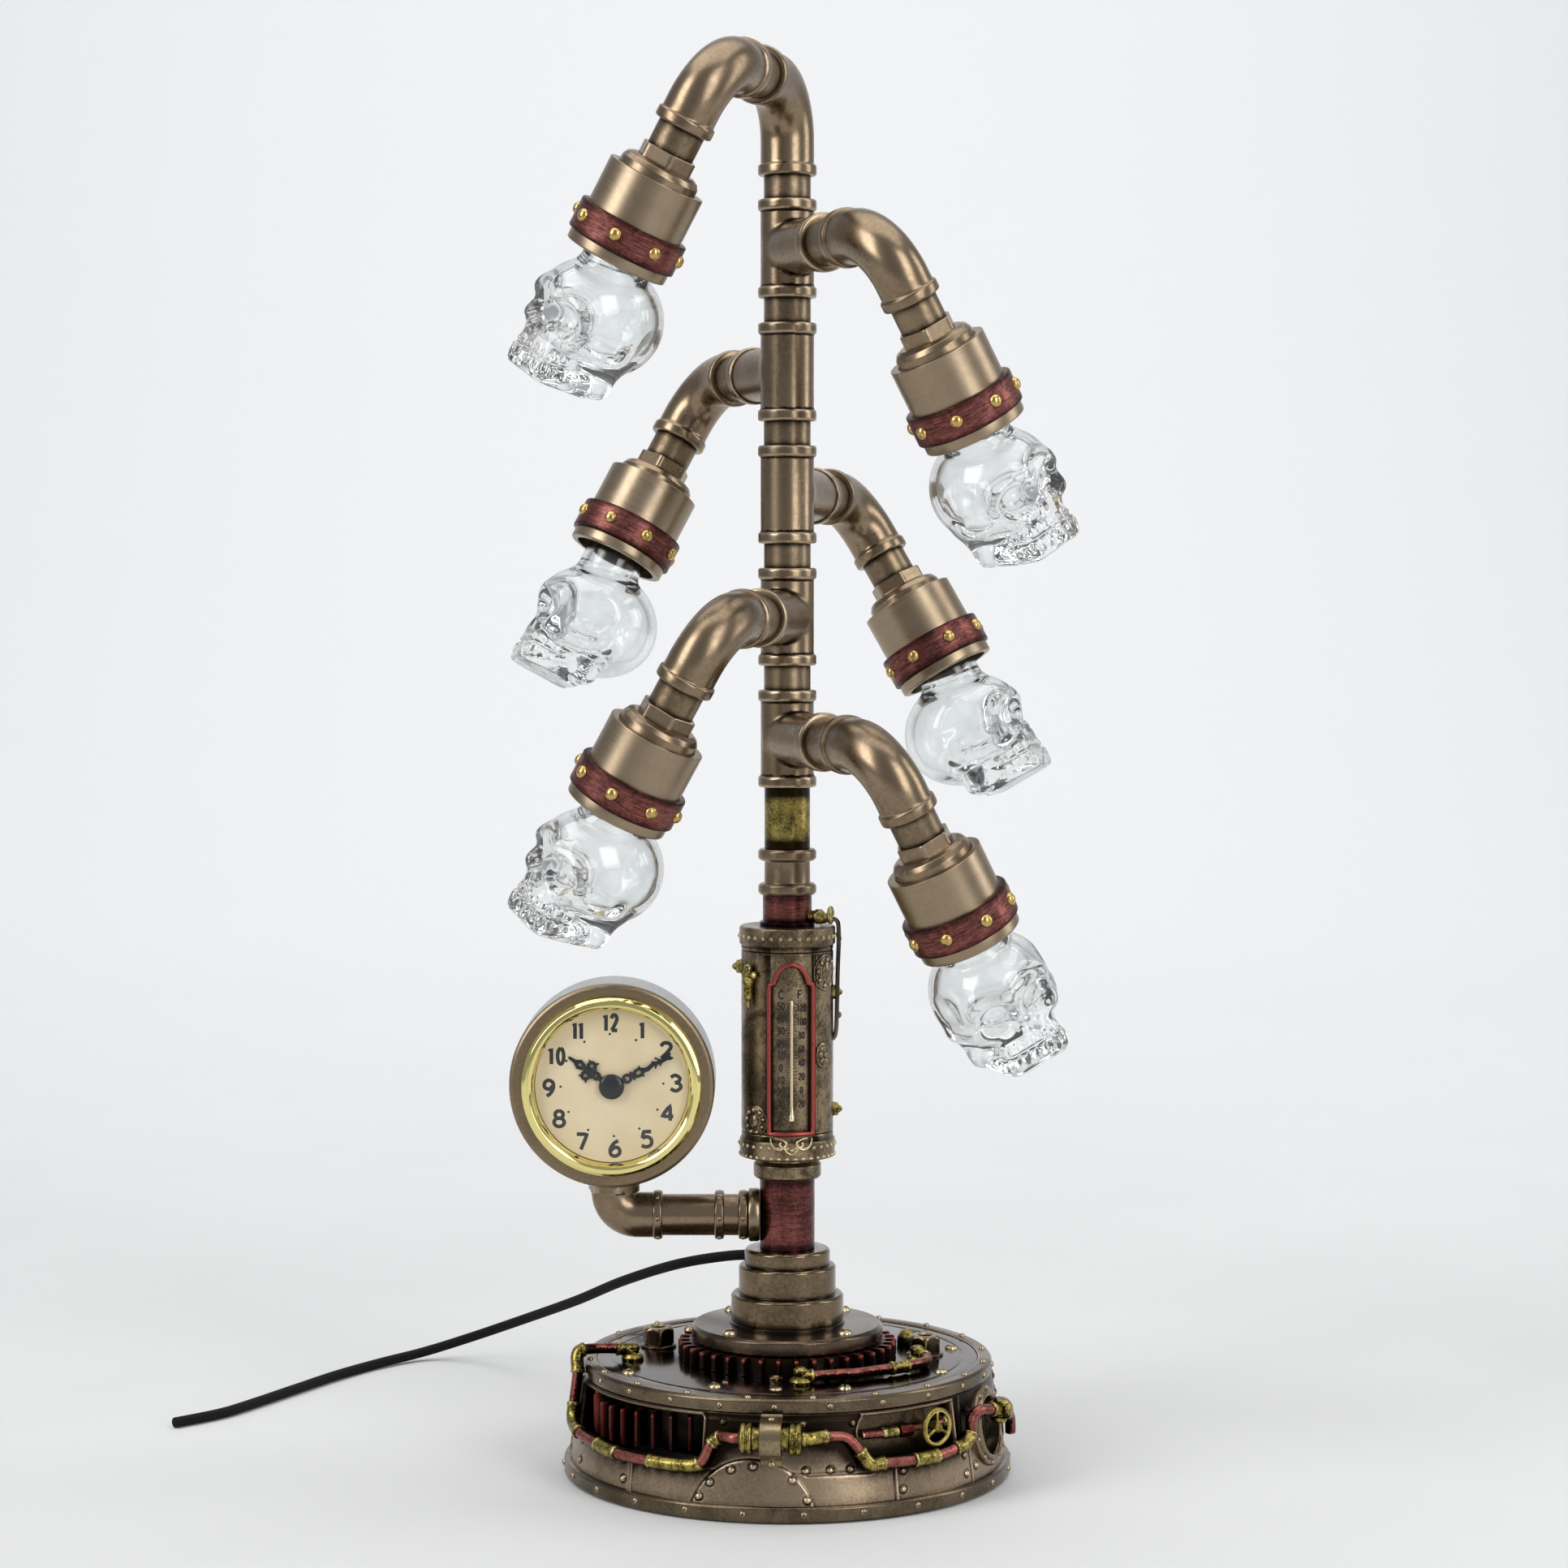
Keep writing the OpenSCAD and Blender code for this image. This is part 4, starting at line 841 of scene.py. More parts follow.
cup_prof = fillet([(17.3, -LIP_H), (17.9, -LIP_H, 0.2), (CUP_R + 1.1, -LIP_H, 0.9), (CUP_R + 1.1, -BAND1, 0.5), (CUP_R, -BAND1 + 0.05, 0.05), (CUP_R, -RIM_H - 0.6, 0.0), (CUP_R, -RIM_H, 0.8), (15.9, -RIM_H, 0.3), (15.9, -RIM_H - 0.7, 0.1), (17.3, -RIM_H - 0.8, 0.1)], 5)
cup = lathe(cup_prof, 96, closed=True)
band = lathe(np.vstack([[[CUP_R, -BAND1], [21.0, -BAND1], [21.35, -BAND1 + 0.12], [21.55, -BAND1 + 0.4]], [[21.6, z_] for z_ in np.linspace(-BAND1 + 0.75, -BAND0 - 0.75, 15)], [[21.55, -BAND0 - 0.4], [21.35, -BAND0 - 0.12], [21.0, -BAND0], [CUP_R, -BAND0]]]), 96, closed=True)
band_shade = ends(band, 2, -BAND1, -BAND0, 1.9, 0.36)
stud = lathe(np.vstack([[[2.55, -0.4], [2.55, 0.0]], [[2.55 * math.cos(t), 2.0 * math.sin(t)] for t in np.linspace(0.1, 1.48, 9)], [[0, 2.0]]]), 28)
for i in range(6):
    m = arm_m(i)
    make(f"lamp_cup_{i + 1}", cup, M_CUP, nodes=("lamp_cups",), m=m)
    make(f"red_band_{i + 1}", band, M_BAND, nodes=("cup_bands",), m=m, shade=band_shade)
    st = [stud.at(rot("Z", 45 * k + STUD_A[i]) @ tr(21.55, 0, -(BAND0 + BAND1) / 2 + 0.4) @ rot("Y", 90)) for k in range(8)]
    make(f"band_studs_{i + 1}", joined(st), M_STUD, nodes=("band_studs",), m=m, wear_and_shade=0.5)


# ------------------------------------------------------------------ glass skulls
def skull_shell(p, fine=True):
    neck = rcyl(p, 2, -8, 20, 12.5, 0.8)
    d = ell(p, (0, 5.6, -21.8), (23.6, 25.4, 22.4))
    p = p - np.array([0, 6.2, 0])
    d = smin(d, ell(p, (0, -9, -20.5), (19.0, 17.0, 14.5)), 4)
    for s in (-1, 1):
        d = smin(d, cap(p, (0, -21.5, -20.5), (s * 13, -19.5, -21.0), 4.2), 4)
        d = smin(d, cap(p, (s * 13.5, -18.0, -31.5), (s * 19.5, -3, -29.5), 4.4), 4)
        d = smin(d, cap(p, (s * 10, -17, -47.0), (s * 13.5, 2, -44.5), 4.6), 4)
        d = smin(d, cap(p, (s * 13.5, 2, -44.5), (s * 16.5, 4, -32), 4.0), 4)
    d = smin(d, rbox3(p, (0, -13, -40.5), (11.5, 11.0, 9.5), 5), 4)
    d = smin(d, rbox3(p, (0, -10.5, -46.5), (12.6, 13.6, 6.5), 4.5), 3)
    d = smin(d, neck, 3)
    k = 3.2 if fine else 6.0
    for s in (-1, 1):
        d = smax(d, -ell(p, (s * 9.4, -25.5, -27.0), (6.8, 8.0, 5.9)), k)
        d = smax(d, -ell(p, (s * 26.0, -9, -22), (4.6, 8.5, 8.5)), 3)
        d = smax(d, -ell(p, (s * 18.6, -14, -40.5), (5.4, 8.0, 4.6)), 2)
    if fine:
        d = smax(d, -ell(p, (0, -27.5, -34.0), (3.1, 5.0, 4.6)), 1.2)
        # bite line and gaps between the teeth
        front = np.clip((-p[:, 1] - 8) / 8, 0, 1)
        row = np.exp(-((p[:, 2] + 43.0) / 0.75) ** 2) * 1.2
        ang = np.arctan2(p[:, 0], -(p[:, 1] + 6.0))
        tooth = np.exp(-((((ang / 0.2) + 0.5) % 1.0 - 0.5) / 0.16) ** 2) * 0.8 * np.clip(1 - np.abs(p[:, 2] + 43.0) / 4.6, 0, 1) ** 0.5
        d = d + front * np.maximum(row, tooth)
    return smax(d, -51.6 - p[:, 2], 1.2)


def skull_sdf(p):
    out = skull_shell(p)
    inn = smax(skull_shell(p, False) + 3.4, -(p[:, 2] + 40.5), 12)
    inn = smax(inn, p[:, 2] + 3.0, 1.0)
    inn = smin(inn, rcyl(p, 2, -9, 24, 9.5, 0.5), 2.0)
    return smax(out, -inn, 0.4)


skull = nets(skull_sdf, (-26, -25.5, -53.4), (26, 33, 21.4), 0.62)
for i in range(6):
    m = arm_m(i) @ tr(0, 0, -LIP_H - SKULL_D[i]) @ rot("Z", SKULL_A[i])
    make(f"clear_glass_skull_{i + 1}", skull, M_GLASS, body=f"skull_{i + 1}", nodes=(f"glass_skull_{i + 1}",), m=m, sharp=0)

# ------------------------------------------------------------------ column below the tees
def ringed(z0, z1, r, foot=None):
    zs = np.linspace(z0 + 0.3, z1 - 0.3, int((z1 - z0) / 0.8))
    p = lathe(np.vstack([[[0, z0], [r - 0.3, z0]], [[r, z] for z in zs], [[r - 0.3, z1], [0, z1]]]), 72)
    return p if foot is None else p + foot


sl_lo = ringed(88.9, 117.3, 10.9)
make("lower_copper_sleeve_turned", sl_lo, M_SLEEVE, nodes=("lower_copper_sleeve",), shade=ends(sl_lo, 2, 88.9, 117.3, 3.2, 0.4))
sl_hi = ringed(217.7, 230.2, 9.7, lathe(fillet([(0, 217.7), (10.9, 217.7, 0.4), (10.9, 219.6, 0.6), (9.7, 219.7, 0.2)]), 72))
make("upper_copper_sleeve_turned", sl_hi, M_SLEEVE, nodes=("upper_copper_sleeve",), shade=ends(sl_hi, 2, 219.4, 230.2, 2.2, 0.42))
make("lower_coupling_turned", lathe(fillet([(0, 230.2), (10.7, 230.2, 0.2), (11.5, 231.2, 0.7), (11.5, 233.8, 0.7), (10.4, 234.7, 0.3), (9.1, 234.9, 0.4), (9.0, 243.5, 0.4), (10.4, 243.7, 0.3), (11.5, 244.6, 0.7), (11.5, 247.4, 0.7), (10.7, 248.3, 0.2), (0, 248.3)]), 72), M_FIT, nodes=("lower_coupling",))
br = ringed(248.3, 272.8, 9.0)
make("yellow_brass_nipple", br, M_NIPPLE, nodes=("brass_nipple",), shade=ends(br, 2, 249.5, 271.5, 3.4, 0.5))

# ------------------------------------------------------------------ barrel with the thermometer
def wrapped(a0, r):
    """Maps (s along the surface, z, out) about azimuth a0 to points on a cylinder of radius r."""
    def f(s, z, o=0.0):
        s, z, o = np.broadcast_arrays(np.asarray(s, float), np.asarray(z, float), np.asarray(o, float))
        t = math.radians(a0) + s / r
        return np.stack([(r + o) * np.sin(t), -(r + o) * np.cos(t), z], -1)
    return f


def sheet_of_revolution(r_of_z, a, z, height, keep=None, inner=None):
    """A round sheet with relief: grid of azimuths a (deg, all round) and heights z. inner gives it a back."""
    aa, zz = np.meshgrid(np.radians(a), z, indexing="ij")
    r = r_of_z(zz) + height
    v = np.stack([r * np.sin(aa), -r * np.cos(aa), zz], -1).reshape(-1, 3)
    na, nz = len(a), len(z)
    i, j = np.meshgrid(np.arange(na), np.arange(nz - 1), indexing="ij")
    i2 = (i + 1) % na
    q = np.stack([i * nz + j, i2 * nz + j, i2 * nz + j + 1, i * nz + j + 1], -1).reshape(-1, 4)
    if keep is not None:
        k = keep.reshape(-1)
        q = q[k[q].all(1)]
    if inner is None:
        return Part(v, q)
    ri = r_of_z(zz) - inner
    w = np.stack([ri * np.sin(aa), -ri * np.cos(aa), zz], -1).reshape(-1, 3)
    n = len(v)
    e = np.vstack([q[:, [0, 1]], q[:, [1, 2]], q[:, [2, 3]], q[:, [3, 0]]])
    key = e[:, 0].astype(np.int64) * (2 * n) + e[:, 1]
    back = e[:, 1].astype(np.int64) * (2 * n) + e[:, 0]
    edge = e[~np.isin(key, back)]
    rim = np.stack([edge[:, 1], edge[:, 0], edge[:, 0] + n, edge[:, 1] + n], 1)
    allv = np.vstack([v, w])
    faces = np.vstack([q, q[:, ::-1] + n, rim])
    used = np.zeros(len(allv), bool)
    used[faces.ravel()] = True
    new = np.cumsum(used) - 1
    return Part(allv[used], new[faces])


def domes(places, r, h, n=14):
    """Rivet heads: places is a list of (point, direction)."""
    base = lathe(np.vstack([[[0, -0.35], [r, -0.35]], [[r * math.cos(t), h * math.sin(t)] for t in np.linspace(0, 1.4, 6)], [[0, h]]]), n)
    out = []
    for p, d in places:
        d = np.asarray(d, float) / np.linalg.norm(d)
        a = np.array([0, 0, 1.0]) if abs(d[2]) < 0.9 else np.array([1.0, 0, 0])
        u = np.cross(a, d)
        u /= np.linalg.norm(u)
        m = np.eye(4)
        m[:3, 0], m[:3, 1], m[:3, 2], m[:3, 3] = u, np.cross(d, u), d, p
        out.append(base.at(m))
    return joined(out)


def radial(a, z, r, tilt=0.0):
    t = math.radians(a)
    d = np.array([math.sin(t) * math.cos(tilt), -math.cos(t) * math.cos(tilt), math.sin(tilt)])
    return np.array([r * math.sin(t), -r * math.cos(t), z]), d


BR = 18.2
TA = 5.0
az = np.linspace(-180, 180, 520, endpoint=False)
bz = np.linspace(127.0, 216.2, 330)
A, Z = np.meshgrid(az, bz, indexing="ij")


def sa(a0, r=BR):
    return np.radians((A - a0 + 180) % 360 - 180) * r


S = sa(TA)
window = np.minimum(rbox(S, Z - 166.2, 8.6, 29.6, 0.8), np.maximum(np.hypot(S / 6.6, (Z - 195.8) / 7.6) * 6.6 - 6.6, 194 - Z))
hollow = -1.5 * inside(window, 0.7)
H = np.zeros_like(Z)
H += 0.05 * np.sin(Z * 0.9 + 2 * np.sin(np.radians(A * 3))) * inside(-window, 2)
for a0, z0, rr, boss in ((56.5, 200.2, 7.0, (2.7, 4.6)), (-44.5, 141.6, 6.0, (2.0, 2.6)), (140, 172, 7.0, (3.0, 3.0)), (-130, 190, 6.0, (2.4, 3.0))):
    s = sa(a0)
    d = np.hypot(s, Z - z0)
    H = np.maximum(H, 0.55 * inside(d - rr, 0.6) - 0.25 * np.exp(-((d - rr * 0.92) / 0.35) ** 2) * (d < rr))
    H = np.maximum(H, 0.5 + 1.0 * np.sqrt(np.clip(1 - (s / boss[0]) ** 2 - ((Z - z0) / boss[1]) ** 2, 0, 1)) - 9 * (np.hypot(s / boss[0], (Z - z0) / boss[1]) > 1))
    for k in range(9):
        t = k * 2 * math.pi / 9 + 0.2
        e = dome(s - rr * 0.74 * math.cos(t), Z - z0 - rr * 0.74 * math.sin(t), 0.85, 0.75)
        H = np.where(e > 0, np.maximum(H, 0.5 + e), H)
# lobed plate on the right, seams and straps
s = sa(50)
d = np.hypot(s / 3.9, (Z - 167.6) / 4.9)
H = np.maximum(H, 0.55 * inside((d - 1) * 4, 0.6))
for x, y, q_ in ((0, 2.4, 1.5), (-1.5, 0.2, 1.3), (1.5, 0.0, 1.4), (-0.4, -2.5, 1.5), (1.2, -2.2, 1.0)):
    e = dome(s - x, Z - 167.6 - y, q_, 0.6)
    H = np.where(e > 0, np.maximum(H, 0.5 + e), H)
for a0 in (37.5, -62, 112, 180, -112):
    s = sa(a0)
    H -= 0.35 * np.exp(-(s / 0.28) ** 2) * (Z > 136.5) * (Z < 208)
for z0 in (136.4, 208.4):
    H -= 0.35 * np.exp(-((Z - z0) / 0.3) ** 2) * inside(-window, 0.5)
H = H * inside(-window - 0.4, 0.6) + hollow
barrel = sheet_of_revolution(lambda z: BR + 0 * z, az, bz, H, inner=2.9)
br_r = np.hypot(barrel.v[:, 0], barrel.v[:, 1])
# painted shade on the barrel: the plate inside the window darker towards the bottom, darker beside the frame, under the
# top and bottom caps, and in two upright strips either side of the frame
barrel_painted_shade = 0.1 * ((br_r < BR - 1.3) & (br_r > BR - 1.6)) * np.clip((196 - barrel.v[:, 2]) / 50, 0.2, 1)
br_a = (np.degrees(np.arctan2(barrel.v[:, 0], -barrel.v[:, 1])) - TA) * math.radians(1) * BR
barrel_painted_shade = barrel_painted_shade + 0.22 * np.exp(-(np.clip(np.abs(br_a) - 9.6, 0, None) / 2.6) ** 2) * (br_r > BR - 1.2) * (np.abs(br_a) > 8.4)
barrel_painted_shade = barrel_painted_shade + 0.2 * np.exp(-(210.5 - barrel.v[:, 2]).clip(0) / 4.0) + 0.2 * np.exp(-(barrel.v[:, 2] - 133.6).clip(0) / 3.5)
barrel_painted_shade = barrel_painted_shade + 0.07 * np.exp(-((br_a + 25.5) / 4.0) ** 2) + 0.12 * np.exp(-((br_a - 27.0) / 6.0) ** 2)
make("relief_barrel", barrel, M_BARREL, nodes=("thermometer_barrel",), sharp=0, wear_and_shade=2.4, rounds=2, shade=barrel_painted_shade)

cap_hi = lathe(fillet([(17.9, 210.6), (18.6, 210.5, 0.2), (19.0, 211.0, 0.4), (19.0, 217.2, 0.6), (18.4, 217.8, 0.3), (10.6, 217.8, 0.1), (10.6, 216.4), (17.9, 216.4)]), 96, closed=True)
cap_lo = lathe(fillet([(10.4, 126.0), (18.2, 126.0, 0.5), (18.9, 126.6, 0.5), (18.9, 133.1, 0.4), (18.5, 133.6, 0.2), (17.9, 133.6), (17.9, 127.4), (10.4, 127.4)]), 96, closed=True)
collar = lathe(fillet([(0, 117.3), (12.6, 117.3, 0.4), (13.4, 118.2, 0.7), (13.4, 122.9, 0.8), (12.4, 123.8, 0.4), (11.0, 124.1, 0.3), (11.0, 126.2), (0, 126.2)]), 72)
make("barrel_end_caps", joined([cap_hi, cap_lo, collar]), M_BARREL, nodes=("barrel_caps",))
riv = [radial(11.25 * k + 3, 213.9, 18.95) for k in range(32)] + [radial(11.25 * k, 131.2, 18.85) for k in range(32)] + [radial(10 * k, 127.0, 18.6, -0.5) for k in range(36)]
make("barrel_rivets", domes(riv, 0.85, 0.75), M_LIP, nodes=("casting_rivets",))

W = wrapped(TA, 18.3)
fr = [(-8.9, 137.0), (-9.0, 150), (-9.0, 165), (-9.0, 180), (-9.0, 194.6), (-8.6, 195.8), (-7.0, 196.6), (-6.5, 198.2), (-5.4, 200.6), (-3.4, 203.0), (0, 204.2)]
fr = fr + [(-x, y) for x, y in fr[-2::-1]]
path = []
for k in range(len(fr) - 1):
    n_ = 12 if k in (1, 2, 3, len(fr) - 3, len(fr) - 4, len(fr) - 5) else 6
    path += [np.array(fr[k]) + (np.array(fr[k + 1]) - np.array(fr[k])) * t for t in np.linspace(0, 1, n_, endpoint=False)]
path += [np.array(fr[-1])] + [np.array([x, 137.0]) for x in np.linspace(8.9, -8.9, 22)[1:-1]]
path = np.array(path)
ring_pts = W(path[:, 0], path[:, 1], 0.25)


def closed_tube(p, r, n=14):
    p = np.asarray(p, float)
    m = len(p)
    t = np.roll(p, -1, 0) - np.roll(p, 1, 0)
    t /= np.linalg.norm(t, axis=1)[:, None]
    return p, t, m


def strip_loop(p, outv, r, n=12, flat=0.8):
    """A closed tube whose one axis follows outv."""
    p, t, m = closed_tube(p, r)
    w = outv - t * (outv * t).sum(1)[:, None]
    w /= np.linalg.norm(w, axis=1)[:, None]
    u = np.cross(t, w)
    th = np.linspace(0, 2 * math.pi, n, endpoint=False)
    v = (p[:, None] + r * (np.cos(th)[None, :, None] * u[:, None] + flat * np.sin(th)[None, :, None] * w[:, None])).reshape(-1, 3)
    j = np.arange(n)
    jn = (j + 1) % n
    q = np.vstack([np.stack([a * n + j, ((a + 1) % m) * n + j, ((a + 1) % m) * n + jn, a * n + jn], 1) for a in range(m)])
    return Part(v, q)


outv = ring_pts * np.array([1, 1, 0])
f_part = strip_loop(ring_pts, outv, 0.95)
make("red_thermometer_frame", f_part, M_RED, nodes=("thermometer_frame",), sharp=0, wear_and_shade=0.4)

DIGIT = {
    "0": [("c", 0.5, 0.5, 0.42, 0.5)],
    "1": [("l", (0.28, 0.8), (0.55, 1.0), (0.55, 0.0))],
    "2": [("s", (0.08, 0.78), (0.3, 0.98), (0.7, 0.98), (0.9, 0.74), (0.62, 0.42), (0.1, 0.02)), ("l", (0.1, 0.02), (0.94, 0.02))],
    "3": [("s", (0.1, 0.86), (0.45, 1.0), (0.82, 0.82), (0.72, 0.6), (0.42, 0.53)), ("s", (0.42, 0.53), (0.8, 0.45), (0.9, 0.2), (0.5, 0.0), (0.08, 0.14))],
    "4": [("l", (0.72, 0.0), (0.72, 1.0), (0.04, 0.28), (0.98, 0.28))],
    "5": [("l", (0.86, 0.98), (0.24, 0.98), (0.16, 0.56)), ("s", (0.16, 0.56), (0.5, 0.66), (0.88, 0.48), (0.84, 0.14), (0.46, 0.0), (0.08, 0.1))],
    "6": [("s", (0.78, 0.98), (0.4, 0.8), (0.12, 0.42), (0.2, 0.08), (0.55, 0.0), (0.88, 0.18), (0.84, 0.46), (0.52, 0.56), (0.18, 0.36))],
    "7": [("l", (0.06, 0.98), (0.92, 0.98), (0.4, 0.0))],
    "8": [("c", 0.5, 0.76, 0.33, 0.24), ("c", 0.5, 0.27, 0.42, 0.27)],
    "9": [("s", (0.82, 0.66), (0.5, 0.44), (0.14, 0.56), (0.16, 0.86), (0.48, 1.0), (0.82, 0.84), (0.84, 0.5), (0.6, 0.16), (0.3, 0.0))],
    "C": [("s", (0.9, 0.82), (0.6, 1.0), (0.2, 0.88), (0.05, 0.5), (0.2, 0.12), (0.6, 0.0), (0.9, 0.18))],
    "F": [("l", (0.9, 1.0), (0.12, 1.0), (0.12, 0.0)), ("l", (0.12, 0.52), (0.75, 0.52))],
}


def strokes(ch):
    out = []
    for k in DIGIT[ch]:
        if k[0] == "c":
            t = np.linspace(0, 2 * math.pi, 25)
            out.append(np.stack([k[1] + k[3] * np.sin(t), k[2] + k[4] * np.cos(t)], 1))
        elif k[0] == "l":
            p = np.array(k[1:], float)
            out.append(np.vstack([p[i] + (p[i + 1] - p[i]) * np.linspace(0, 1, 5)[:, None] for i in range(len(p) - 1)]))
        else:
            out.append(smooth_line(np.array([[x, y, 0] for x, y in k[1:]]), 6)[:, :2])
    return out


def label(text, x, z, w, h, mapper, r, gap=0.28, flat=1.0):
    parts = []
    total = len(text) * w + (len(text) - 1) * gap * w
    x0 = x - total / 2
    for c in text:
        for st_ in strokes(c):
            pts = [st_[0]]
            for p in st_[1:]:
                if np.linalg.norm((p - pts[-1]) * np.array([w, h])) > 1e-4:
                    pts.append(p)
            pts = np.array(pts)
            parts.append(sweep(mapper(x0 + pts[:, 0] * w, z - h / 2 + pts[:, 1] * h), r, 8))
        x0 += w * (1 + gap)
    return joined(parts)


PL = wrapped(TA, 18.2)
mp = lambda s, z: PL(s, z, -1.46)
marks = [label("C", -4.2, 192.0, 2.4, 3.2, mp, 0.32), label("F", 3.9, 192.0, 2.0, 3.2, mp, 0.32)]
for k, t in enumerate(["50", "40", "30", "20", "10", "0", "10", "20", "30"]):
    marks.append(label(t, -4.4, 187.4 - 4.85 * k, 1.4, 2.7, mp, 0.29))
for k, t in enumerate(["120", "100", "80", "60", "40", "20", "0", "20"]):
    marks.append(label(t, 4.6, 186.7 - 5.42 * k, 1.15, 2.6, mp, 0.26))
for k in range(40):
    z0 = 188.4 - k * 1.05
    marks.append(sweep(mp(np.linspace(-2.5 if k % 5 == 0 else -2.0, -0.85, 4), np.full(4, z0)), 0.16, 6))
for k in range(32):
    z0 = 188.2 - k * 1.33
    marks.append(sweep(mp(np.linspace(1.2, 2.9 if k % 4 == 0 else 2.2, 4), np.full(4, z0)), 0.16, 6))
make("thermometer_marks", joined(marks), M_INK, nodes=("thermometer_plate",))
tp = PL(np.full(30, 0.2), np.linspace(143.0, 189.6, 30), -0.95)
tr_ = np.r_[1.15, 1.25, 1.15, 0.85, np.full(25, 0.72), 0.5]
tp[:4] = PL(np.full(4, 0.2), np.array([142.2, 143.0, 143.9, 144.8]), -0.95)
make("thermometer_column", sweep(tp, tr_, 16), M_TUBE, nodes=("thermometer_tube",), sharp=60)

# scrolls under the frame
SC = wrapped(TA, 18.95)
scroll = []
for sgn in (-1, 1):
    for pts in ([(8.4, 135.4), (8.0, 133.2), (6.4, 131.4), (4.4, 130.9), (3.0, 131.5), (1.6, 129.9), (0.2, 129.0)], [(6.4, 135.4), (4.0, 135.0), (2.2, 133.8), (2.4, 132.2), (3.8, 131.9), (4.6, 133.0), (3.9, 133.8)]):
        ln_ = smooth_line(np.array([[sgn * x, y, 0] for x, y in pts]), 8)
        scroll.append(sweep(SC(ln_[:, 0], ln_[:, 1], 0.1), np.interp(np.linspace(0, 1, len(ln_)), [0, 0.5, 1], [0.35, 0.62, 0.4]), 10))
scroll.append(domes([(SC(0.2, 130.6, 0.0), SC(0.2, 130.6, 0.0) * np.array([1, 1, 0]))], 0.95, 0.9))
make("barrel_scrolls", joined(scroll), M_LIP)

# latch, nuts, strap and eye
fit = []
L0 = wrapped(-50, 18.2)
lp = L0(np.zeros(26), np.linspace(186.6, 203.6, 26), 1.9)
fit.append(sweep(lp, np.interp(np.linspace(186.6, 203.6, 26), [186.6, 187.4, 189, 190.2, 190.6, 196, 196.4, 198.4, 198.8, 202.5, 203.6], [0.5, 0.8, 1.0, 1.6, 1.8, 1.9, 2.4, 2.4, 1.8, 1.7, 0.9]), 20))
fit.append(sweep(L0(np.linspace(-2.8, 4.2, 14), np.full(14, 199.6), 2.2), np.interp(np.linspace(-2.8, 4.2, 14), [-2.8, -2.2, 2.2, 3.0, 3.6, 4.2], [0.8, 1.1, 1.0, 1.5, 1.5, 0.6]), 14))
nut_prof = fillet([(0, -0.6), (2.9, -0.6, 0.1), (2.9, 0.5, 0.3), (2.2, 0.7, 0.1), (2.2, 1.5, 0.2), (1.5, 2.4, 0.4), (0.8, 3.4, 0.4), (0, 3.7)], 3)
for a0, z0 in ((-88, 201.5), (90, 191.2), (92, 144.4), (180, 150), (-150, 168)):
    t = math.radians(a0)
    m = tr(18.3 * math.sin(t), -18.3 * math.cos(t), z0) @ rot("Z", a0) @ rot("X", 90)
    fit.append(lathe(nut_prof, 20).at(m) + hex_nut(2.7, 0.4, 1.9, 0.3).at(m))
eye = [np.array([2.7 * math.cos(t), 0, 2.7 * math.sin(t)]) for t in np.linspace(0, 2 * math.pi, 28, endpoint=False)]
em = tr(*bp(78, 17.5, 222.2)) @ rot("Z", 78)
fit.append(strip_loop(np.array(eye) @ em[:3, :3].T + em[:3, 3], np.array(eye) @ em[:3, :3].T, 0.95, 10, 1.0))
fit.append(sweep(np.stack([bp(72, r_, 221.6) for r_ in np.linspace(9, 16.2, 10)]), np.interp(np.linspace(9, 16.2, 10), [9, 12, 12.2, 14.5, 14.8, 16.2], [2.4, 2.4, 3.0, 3.0, 1.8, 1.6]), 18))
make("barrel_brass_fittings", joined(fit), M_BRASS, nodes=("barrel_fittings",))
STRAP = [(13.0, 219.2), (16.5, 220.2), (18.6, 220.3), (19.9, 219.2), (20.3, 216.0), (20.3, 210), (19.9, 200), (19.7, 190), (19.5, 181), (19.3, 176.5), (18.8, 174.0), (17.8, 172.6)]


# ------------------------------------------------------------------ clock arm
X = -69.0
th = np.linspace(0, 90, 19)
cp = [[-10.95, 0, 102], [-30, 0, 102]] + [[X + 9.5 - 9.5 * math.sin(math.radians(t)), 0, 102 + 9.5 - 9.5 * math.cos(math.radians(t))] for t in th] + [[X, 0, 113]]
cp = np.array(cp, float)
tot = float(np.linalg.norm(np.diff(cp, axis=0), axis=1).sum())
steps = [(0, 9.8), (0.2, 10.3), (0.8, 10.6), (3.8, 10.6), (4.3, 10.3), (4.55, 9.6), (4.7, 8.3), (5.4, 8.2), (40.2, 8.2), (40.8, 9.0), (tot - 2, 9.0), (tot, 9.0)]
pts, rr = along(cp, steps)
make("clock_arm_bent_pipe", sweep(pts, rr, 48), M_FIT, nodes=("clock_arm_pipe",))
clamp = lathe(fillet([(8.0, -1.9), (9.0, -1.9, 0.2), (9.7, -1.4, 0.6), (9.7, 1.4, 0.6), (9.0, 1.9, 0.2), (8.0, 1.9)], 4), 56, closed=True)
cl = [clamp.at(tr(x, 0, 102) @ rot("Y", 90)) for x in (-17.5, -27, -51.5)]
cl += [domes([(np.array([x, -9.6 * math.cos(t), 102 + 9.6 * math.sin(t)]), np.array([0, -math.cos(t), math.sin(t)])) for x in (-17.5, -27, -51.5) for t in np.radians([-60, 0, 55, 120, 180, 240])], 1.0, 0.8)]
